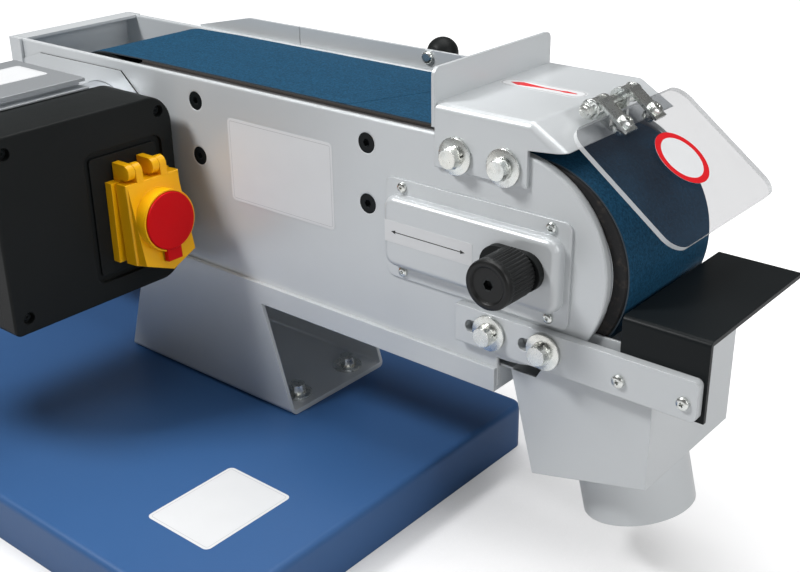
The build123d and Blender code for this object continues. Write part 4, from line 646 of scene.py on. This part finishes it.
def crossScrews(name, body, node, places, screw, nut=None, slot="zinc"):
    bm = bmesh.new()
    tools = bmesh.new()
    head, height, length = (screw[key] * mm for key in ("head", "height", "length"))
    radius = screw["thread"] / 2 * mm
    sides, rim = crossScrew["shankSides"], crossScrew["shankRim"] * mm
    for matrix in places:
        one = bmesh.new()
        panHead(one, head, height, matrix)
        disc(one, radius, length, -length, sides, rim, matrix)
        if nut:
            hexHead(one, nut[0] * mm, nut[1] * mm, nut[2] * mm, matrix @ halfTurn)
        drop(bm, one)
        crossTool(tools, head, height, matrix)
    bmesh.ops.recalc_face_normals(tools, faces=tools.faces)
    piece = addPiece(name, bm, body, [finishes[slot]], [node])
    cutAway(piece, tools)


coverScrews = {
    "x": (208.8, 323.2), "y": 39.0, "z": (190.1, 249.3), "turn": 0.4,
    "head": 7.0, "height": 2.2, "thread": 4.0, "length": 4.5,
}
coverPlaces = [
    facing(at(x, coverScrews["y"], z), near, (1, 0, coverScrews["turn"] * i))
    for i, x in enumerate(coverScrews["x"]) for z in coverScrews["z"]
]
crossScrews("coverScrews", "frame", "cover_screws", coverPlaces, coverScrews)

tableScrews = {
    "x": (376.6, 418.4), "y": 34.2, "z": 167.0, "across": (1, 0, 0.5),
    "head": 8.4, "height": 2.8, "thread": 5.0, "length": 9.0,
}
tablePlaces = [
    facing(at(x, tableScrews["y"], tableScrews["z"]), near, tableScrews["across"])
    for x in tableScrews["x"]
]
crossScrews("tableScrews", "work_rest", "table_screws", tablePlaces, tableScrews)

boxScrews = {
    "x": -15.0, "y": (-109.5, 20.5), "z": (146.0, 266.0), "across": (0, 1, 0.3),
    "head": 7.0, "height": 2.2, "thread": 4.0, "length": 17.0,
}
boxPlaces = [
    facing(at(boxScrews["x"], y, z), ahead, boxScrews["across"])
    for y in boxScrews["y"] for z in boxScrews["z"]
]
crossScrews("boxScrews", "frame", "box_screws", boxPlaces, boxScrews, slot="black_paint")

shieldPivot = at(*shield["pivot"])


def onShield(along, across, height):
    return shieldPivot + (shieldAlong * along + far * across + shieldOut * height) * mm


shieldGrip = shield["strap"] + shield["sheet"]
shieldTop = shield["level"] + shield["strap"]
shieldScrew = {**shield, "length": shieldGrip + shield["nutHeight"]}
shieldNut = (shield["nut"], shield["nutHeight"], shieldGrip)
shieldPlaces = [
    facing(onShield(shield["screw"], y, shieldTop), shieldOut, shield["across"])
    for y in (-shield["spread"] / 2, shield["spread"] / 2)
]
crossScrews("shieldScrews", "shield", "shield_screws", shieldPlaces, shieldScrew, shieldNut)
print("screws done")

knob = {
    "axis": (306.5, 221.5), "near": -2.6, "far": 25.4, "radius": 16.0, "bore": 4.0,
    "recess": 11.5, "recessDepth": 1.5, "recessEdge": 0.5, "recessLip": 0.6,
    "edge": 2.0, "round": (0.5, 0.7), "plain": 5.0, "tail": 1.2, "tailIn": 1.0,
    "flutes": 40, "cut": 0.8, "flute": (1, 0.45, 0, 0.45), "skin": 1.5, "margin": (0.6, 0.1),
    "crease": 24,
}


def fluteKnob():
    bm = bmesh.new()
    length = knob["far"] - knob["near"]
    radius, recess, edge = knob["radius"], knob["recess"], knob["edge"]
    inset, slope = knob["round"]
    profile = [
        (knob["bore"], knob["recessDepth"]),
        (recess - knob["recessEdge"], knob["recessDepth"]),
        (recess, knob["recessEdge"]),
        (recess + knob["recessLip"], 0),
        (radius - edge, 0),
        (radius - inset, slope),
        (radius, edge),
        (radius, knob["plain"]),
        (radius, knob["plain"] + knob["tail"]),
        (radius, length - knob["tail"]),
        (radius - knob["tailIn"], length),
        (knob["bore"], length),
    ]
    corners, edges = outline(bm, [(r * mm, 0, -z * mm) for r, z in profile])
    columns = len(knob["flute"])
    steps = knob["flutes"] * columns
    spin(bm, corners + edges, 2 * math.pi, steps, merge=True)
    front, rear = knob["margin"]
    for v in bm.verts:  # every fourth column is the bottom of a flute
        reach = math.hypot(v.co.x, v.co.y)
        column = round(math.atan2(v.co.y, v.co.x) / (2 * math.pi) * steps) % columns
        grip = -(length + rear) * mm < v.co.z < -(knob["plain"] + front) * mm
        if grip and reach > (radius - knob["skin"]) * mm:
            depth = knob["cut"] * knob["flute"][column] * mm
            v.co.x *= (reach - depth) / reach
            v.co.y *= (reach - depth) / reach
    move(bm, bm.verts, facing(at(knob["axis"][0], knob["near"], knob["axis"][1]), near, ahead))
    looks = [extras["knobPlastic"]]
    addPiece("trackingKnob", bm, "knob", looks, ["tracking_knob"], knob["crease"])


fluteKnob()

pivotBolt = {
    "reach": 23.8, "radius": 3.0, "flats": 10.0, "nut": 5.0, "turn": 0.3,
    "washer": 12.5, "washerHeight": 1.2, "washerRim": 0.25, "washerSides": 36,
    "collar": 8.6, "collarHeight": 1.5, "collarSunk": 0.1, "collarSides": 36,
    "tail": 3.0, "headSunk": 1, "rim": 0.5, "sides": 32,
}


def shieldHingeBolt():
    bm = bmesh.new()
    reach, nut, under = (pivotBolt[key] for key in ("reach", "nut", "washerHeight"))
    rim = pivotBolt["rim"] * mm
    x, y, z = shield["pivot"]
    turn = Matrix.Rotation(pivotBolt["turn"], 4, "Z")
    for side, out in ((-1, near), (1, far)):
        seat = facing(at(x, y + side * reach, z), out, ahead)
        disc(bm, pivotBolt["washer"] / 2 * mm, under * mm, 0, pivotBolt["washerSides"],
             pivotBolt["washerRim"] * mm, seat)
        hexHead(bm, pivotBolt["flats"] * mm, (nut - under) * mm, under * mm, seat @ turn)
    locked = facing(at(x, y - reach, z), near, ahead)  # the near nut has a collar
    disc(bm, pivotBolt["collar"] / 2 * mm, pivotBolt["collarHeight"] * mm,
         (nut - pivotBolt["collarSunk"]) * mm, pivotBolt["collarSides"], rim, locked)
    start = facing(at(x, y + reach + nut - pivotBolt["headSunk"], z), near, ahead)
    length = 2 * reach + 2 * nut + pivotBolt["tail"] - pivotBolt["headSunk"]
    disc(bm, pivotBolt["radius"] * mm, length * mm, 0, pivotBolt["sides"], rim, start)
    addPiece("hingeBolt", bm, "frame", [finishes["zinc"]], ["shield_pivot"], boltCrease)


shieldHingeBolt()
print("knob and hinge bolt done")

drum = {"x": -100.83, "z": 227.0}
wheel = {"x": 306.5, "z": 221.5}
belt = {
    "near": 48.0, "far": 148.0, "roller": 64.0, "gap": 0.3, "thick": 1.0, "top": 293.0,
    "padRear": -57.0, "padFront": 228.0, "arcSteps": 48, "crease": 30,
}


def arc(middle, radius, first, last):
    points = []
    for i in range(belt["arcSteps"] + 1):
        turn = first + (last - first) * i / belt["arcSteps"]
        points.append(middle + Vector((math.cos(turn), math.sin(turn))) * radius)
    return points


def beltLine(offset, height):  # points round the wheel, back under to the drum, over the pad
    radius = belt["roller"] + offset
    drumAt = Vector((drum["x"], drum["z"]))
    wheelAt = Vector((wheel["x"], wheel["z"]))
    rear = Vector((belt["padRear"], height))
    front = Vector((belt["padFront"], height))
    toRear = rear - drumAt
    drumTop = math.atan2(toRear.y, toRear.x) + math.acos(radius / toRear.length)
    toFront = front - wheelAt
    wheelTop = math.atan2(toFront.y, toFront.x) - math.acos(radius / toFront.length)
    low = math.atan2(wheelAt.y - drumAt.y, wheelAt.x - drumAt.x) - math.pi / 2
    roundWheel = arc(wheelAt, radius, wheelTop, low)
    roundDrum = arc(drumAt, radius, low, drumTop - 2 * math.pi)
    return roundWheel + roundDrum + [rear, front]


def sandingBelt():
    bm = bmesh.new()
    rings = []
    outer = (belt["gap"] + belt["thick"], belt["top"])
    inner = (belt["gap"], belt["top"] - belt["thick"])
    for offset, height in (outer, inner):
        line = beltLine(offset, height)
        for y in (belt["near"], belt["far"]):
            rings.append([bm.verts.new(at(p.x, y, p.y)) for p in line])
    outNear, outFar, inNear, inFar = rings
    grainSide, clothSide = (outNear, outFar, 0), (inNear, inFar, 1)
    nearCut, farCut = (outNear, inNear, 2), (outFar, inFar, 2)
    for first, second, kind in (grainSide, clothSide, nearCut, farCut):
        for i in range(len(first)):
            face = bm.faces.new((first[i - 1], first[i], second[i], second[i - 1]))
            face.material_index = kind
    bmesh.ops.recalc_face_normals(bm, faces=bm.faces[:])
    looks = [finishes["belt"], extras["clothBack"], extras["cutEdge"]]
    return addPiece("sandingBelt", bm, "frame", looks, ["abrasive_belt"], belt["crease"])


beltLoop = sandingBelt()

splice = {"lift": 0.12, "width": 9.0, "x": 150.0, "slant": 0.42}


def spliceTape():  # slanted joint of the belt, a thin lap on its top run
    bm = bmesh.new()
    half = splice["width"] / 2
    lean = (belt["far"] - belt["near"]) * splice["slant"]
    rear, front = splice["x"] - half, splice["x"] + half
    corners = (
        (rear, belt["near"]), (front, belt["near"]),
        (front + lean, belt["far"]), (rear + lean, belt["far"]),
    )
    top = belt["top"] + splice["lift"]
    face = bm.faces.new([bm.verts.new(at(x, y, top)) for x, y in corners])
    low, _ = extruded(bm, [face])
    bmesh.ops.translate(bm, vec=(0, 0, -2 * splice["lift"] * mm), verts=low)
    return addPiece("beltLap", bm, "frame", [finishes["belt"]])


beltLap = spliceTape()

pad = {
    "low": (-57.0, 47.0, 290.0), "high": (228.0, 148.0, 292.0), "gap": 0.04,
    "edge": 0.5, "edgeSteps": 3,
}


def graphitePad():
    bm = bmesh.new()
    made = bmesh.ops.create_cube(bm, size=1)["verts"]
    size = [high - low for low, high in zip(pad["low"], pad["high"])]
    size[2] -= pad["gap"]
    bmesh.ops.scale(bm, vec=Vector(size) * mm, verts=made)
    middle = [(high + low) / 2 for low, high in zip(pad["low"], pad["high"])]
    bmesh.ops.translate(bm, vec=at(*middle), verts=made)
    bevel(bm, bm.edges[:], pad["edge"] * mm, pad["edgeSteps"])
    return addPiece("graphitePad", bm, "frame", [finishes["pad"]], ["platen_pad"])


graphitePad()
print("belt and pad done")

mount = {
    "outline": ((-206, 273.5), (-181, 281.5), (-75, 282.5), (-51, 262), (-51, 172), (-206, 172)),
    "hole": 43.4, "holeSides": 72, "back": 40.5, "thick": 1.2,
}


def mountFace():  # cut-cornered plate that the motor's neck comes through
    bm = bmesh.new()
    _, edges = outline(bm, [at(x, mount["back"], z) for x, z in mount["outline"]])
    hole = bmesh.ops.create_circle(
        bm, segments=mount["holeSides"], radius=mount["hole"] * mm
    )["verts"]
    move(bm, hole, facing(at(drum["x"], mount["back"], drum["z"]), near, ahead))
    edges += {e for v in hole for e in v.link_edges}
    filled = bmesh.ops.triangle_fill(bm, use_beauty=True, edges=edges)["geom"]
    front, _ = extruded(bm, [g for g in filled if isinstance(g, bmesh.types.BMFace)])
    bmesh.ops.translate(bm, vec=(0, -mount["thick"] * mm, 0), verts=front)
    for face in bm.faces:  # the cut edges take the dark black oxide finish, a painted shadow line round the plate
        face.normal_update()
        face.material_index = int(abs(face.normal.y) < 0.5)
    bmesh.ops.recalc_face_normals(bm, faces=bm.faces[:])
    looks = [finishes["grey_paint"], extras["blackOxide"]]
    addPiece("motorMountFace", bm, "frame", looks)


mountFace()

springs = {
    "rear": 199.55, "front": 235.7, "y": 37.2, "z": (212.0, 231.0), "coil": 2.45,
    "wire": 0.42, "wireSides": 8, "turns": 16, "turnSteps": 20, "crease": 60,
}


def tensionSprings():
    bm = bmesh.new()
    steps = springs["turns"] * springs["turnSteps"]
    sweep = 2 * math.pi * springs["turns"]
    length = springs["front"] - springs["rear"] - 2 * springs["wire"]
    upright = Matrix.Rotation(math.pi / 2, 4, "X")
    for z in springs["z"]:
        ring = bmesh.ops.create_circle(
            bm, cap_ends=True, segments=springs["wireSides"], radius=springs["wire"] * mm
        )["verts"]
        move(bm, ring, Matrix.Translation((springs["coil"] * mm, 0, 0)) @ upright)
        faces = list({f for v in ring for f in v.link_faces})
        edges = list({e for v in ring for e in v.link_edges})
        before = set(bm.verts) - set(ring)
        spin(bm, list(ring) + edges + faces, sweep, steps, length * mm / steps)
        coil = [v for v in bm.verts if v not in before]
        move(bm, coil, facing(at(springs["rear"] + springs["wire"], springs["y"], z), ahead, far))
    looks = [finishes["steel"]]
    addPiece("tensionSprings", bm, "frame", looks, ["tension_springs"], springs["crease"])


tensionSprings()

film = {"thick": 0.15, "line": 0.35, "cornerSteps": 6, "ink": 0.08, "inkLift": 0.14}
labels = {
    "sideSticker": {
        "middle": (94.5, 40.5, 234.7), "out": near, "across": ahead,
        "size": (103.0, 62.6), "corner": 3.4, "border": 1.8,
    },
    "ratingPlate": {
        "middle": (142.2, -79.8, 38.0), "out": up, "across": far,
        "size": (77.5, 60.5), "corner": 4.0, "border": 2.0,
    },
    "motorPlate": {
        "middle": (-118.5, -49.0, 286.5), "out": up, "across": far,
        "size": (80.0, 40.0), "corner": 3.0, "border": 1.6,
    },
    "trackingStrip": {
        "middle": (235.5, 31.0, 220.6), "out": near, "across": ahead,
        "size": (71.0, 15.0), "corner": 0.5,
    },
    "runStrip": {
        "middle": (269.5, 106.5, 310.0), "out": up, "across": ahead,
        "size": (63.0, 15.0), "corner": 7.3, "border": 0.5, "line": 1.3,
    },
}
arrows = {
    "trackingStrip": {
        "name": "trackingArrow", "slot": "black_plastic", "look": "blackFilm",
        "points": ((-30, 0), (-26.4, 1.3), (-26.4, 0.28), (26.4, 0.28), (26.4, 1.3), (30, 0),
                   (26.4, -1.3), (26.4, -0.28), (-26.4, -0.28), (-26.4, -1.3)),
    },
    "runStrip": {
        "name": "runArrow", "slot": "red_plastic", "look": "redFilm",
        "points": ((-25, 0), (-17.5, 3.8), (1, 1.0), (13, 0.8), (17, 1.7), (25, 0.6), (25, -0.6),
                   (17, -1.7), (13, -0.8), (1, -1.0), (-17.5, -3.8)),
    },
}


def sticker(name, seat, label):  # blank film, with a printed line inside its border
    bm = bmesh.new()
    width, height = label["size"]
    bmesh.ops.create_grid(bm, x_segments=1, y_segments=1, size=0.5)
    bmesh.ops.scale(bm, vec=(width * mm, height * mm, 1), verts=bm.verts)
    bevel(bm, bm.verts[:], label["corner"] * mm, film["cornerSteps"], "VERTICES")
    raised, top = extruded(bm, bm.faces[:])
    bmesh.ops.translate(bm, vec=(0, 0, film["thick"] * mm), verts=raised)
    looks = [extras["whiteFilm"]]
    if "border" in label:
        looks.append(extras["greyFilm"])
        bmesh.ops.inset_region(bm, faces=top, thickness=label["border"] * mm)
        line = label.get("line", film["line"]) * mm
        for face in bmesh.ops.inset_region(bm, faces=top, thickness=line)["faces"]:
            face.material_index = 1
    move(bm, bm.verts, seat)
    addPiece(name, bm, "frame", looks)


def printedArrow(seat, arrow):
    bm = bmesh.new()
    face = bm.faces.new([bm.verts.new((x * mm, y * mm, 0)) for x, y in arrow["points"]])
    raised, _ = extruded(bm, [face])
    bmesh.ops.translate(bm, vec=(0, 0, film["ink"] * mm), verts=raised)
    move(bm, bm.verts, seat @ Matrix.Translation((0, 0, film["inkLift"] * mm)))
    addPiece(arrow["name"], bm, "frame", [extras[arrow["look"]]])


for name, label in labels.items():
    seat = facing(at(*label["middle"]), label["out"], label["across"])
    sticker(name, seat, label)
    if name in arrows:
        printedArrow(seat, arrows[name])

shieldDisc = {"place": (368.8, 107.5, 284.0), "radius": 19.6, "rim": 4.2, "sides": 64}


def roundSticker():
    bm = bmesh.new()
    off = at(*shieldDisc["place"]) - shieldPivot
    along = off.dot(shieldAlong) / mm
    across = off.y / mm
    seat = facing(onShield(along, across, shield["level"]), shieldOut, far)
    disc(bm, shieldDisc["radius"] * mm, film["thick"] * mm, 0, shieldDisc["sides"])
    top = [f for f in bm.faces if f.normal.z > 0.9]
    rim = bmesh.ops.inset_region(bm, faces=top, thickness=shieldDisc["rim"] * mm)["faces"]
    for face in rim:
        face.material_index = 1
    move(bm, bm.verts, seat)
    looks = [extras["whiteFilm"], extras["redFilm"]]
    addPiece("shieldSpot", bm, "shield", looks)


roundSticker()
print("stickers done")

camera = {
    "place": (673.8, -514.5, 507.8), "azimuth": 40.235, "elevation": 24.427, "roll": -0.846,
    "lens": 53.42, "sensor": 36, "clip": (0.01, 50),
}


def aimCamera():
    data = bpy.data.cameras.new("camera")
    data.sensor_fit = "HORIZONTAL"
    data.sensor_width = camera["sensor"]
    data.lens = camera["lens"]
    data.clip_start, data.clip_end = camera["clip"]
    a, e, roll = (math.radians(camera[key]) for key in ("azimuth", "elevation", "roll"))
    back = Vector((math.sin(a) * math.cos(e), -math.cos(a) * math.cos(e), math.sin(e)))
    right = Vector((math.cos(a), math.sin(a), 0))
    top = back.cross(right)
    turnedRight = right * math.cos(roll) + top * math.sin(roll)
    turnedTop = top * math.cos(roll) - right * math.sin(roll)
    eye = bpy.data.objects.new("camera", data)
    scene.collection.objects.link(eye)
    turn = Matrix((turnedRight, turnedTop, back)).transposed()
    eye.matrix_world = Matrix.Translation(at(*camera["place"])) @ turn.to_4x4()
    scene.camera = eye


aimCamera()

lamps = {
    "overhead": {
        "place": (150, 330, 1600), "aim": (100, 80, 150), "size": (1400, 1200), "power": 18,
    },
    "front": {
        "place": (-550, -850, 1400), "aim": (80, 60, 200), "size": (400, 300), "power": 22.3,
    },
    "side": {
        "place": (1500, 100, 800), "aim": (200, 80, 200), "size": (700, 700), "power": 7.0,
    },
    "corner": {
        "place": (1300, -800, 550), "aim": (200, 80, 200), "size": (500, 500), "power": 1.8,
    },
}


def softLight(name, place, aim, size, power):
    data = bpy.data.lights.new(name, "AREA")
    data.shape = "RECTANGLE"
    data.size = size[0] * mm
    data.size_y = size[1] * mm
    data.energy = power
    lamp = bpy.data.objects.new(name, data)
    scene.collection.objects.link(lamp)
    lamp.location = at(*place)
    lamp.rotation_euler = (at(*place) - at(*aim)).to_track_quat("Z", "Y").to_euler()


for name, settings in lamps.items():
    softLight(name, **settings)


class Backdrop(Look):  # the world's nodes, made as a finish's are
    def __init__(self, world):
        world.use_nodes = True
        self.tree = world.node_tree
        self.shader = self.tree.nodes["Background"]


def seenDirectly(look, mirror):  # 1 for the camera and through glass, less in reflections
    kinds = ("Is Camera Ray", "Is Transmission Ray", "Is Glossy Ray")
    eye, glass, gloss = (look.node("LightPath", out=kind) for kind in kinds)
    return look.band(eye + glass + gloss * mirror, 0, 1)


room = {"light": 0.05, "mirror": 0.10}


def paleWorld():
    scene.world = bpy.data.worlds.new("studio")
    sky = Backdrop(scene.world)
    sky.set("Color", (1, 1, 1))
    seen = seenDirectly(sky, room["mirror"])
    sky.set("Strength", room["light"] + seen * (1 - room["light"]))


paleWorld()

ground = {
    "half": 6, "level": -0.2, "colour": (0.55, 0.55, 0.555), "rough": 0.8, "gloss": 0.1,
    "glow": 0.72, "fade": (0.45, 1.1), "shade": 0.22, "shadeSamples": 16, "mirror": 0.45,
}


def paleFloor():
    bm = bmesh.new()
    bmesh.ops.create_grid(bm, x_segments=1, y_segments=1, size=ground["half"])
    mesh = bpy.data.meshes.new("floor")
    bm.to_mesh(mesh)
    bm.free()
    floor = bpy.data.objects.new("floor", mesh)
    floor.location = at(0, 0, ground["level"])
    scene.collection.objects.link(floor)
    look = Look("paleFloor", Base_Color=ground["colour"], Roughness=ground["rough"],
                Specular_IOR_Level=ground["gloss"], Emission_Strength=1.0)
    # The floor's glow is dimmer near the machine and rises to full white from 0.45 to 1.1 m out,
    # painted light that evens out the lamps' falloff; ambient occlusion darkens it under and beside
    # the machine as a painted contact shadow.
    away = look.node("VectorMath", {"operation": "LENGTH"}, {0: look.place}, out="Value")
    glow = ground["glow"] + look.band(away, *ground["fade"]) * (1 - ground["glow"])
    samples, reach = {"samples": ground["shadeSamples"]}, {"Distance": ground["shade"]}
    paintedContactShadow = look.node("AmbientOcclusion", samples, reach, out="AO")
    look.set("Emission Color", seenDirectly(look, ground["mirror"]) * glow * paintedContactShadow)
    mesh.materials.append(look.material)


paleFloor()
scene.view_settings.view_transform = "Standard"
print("studio ready")
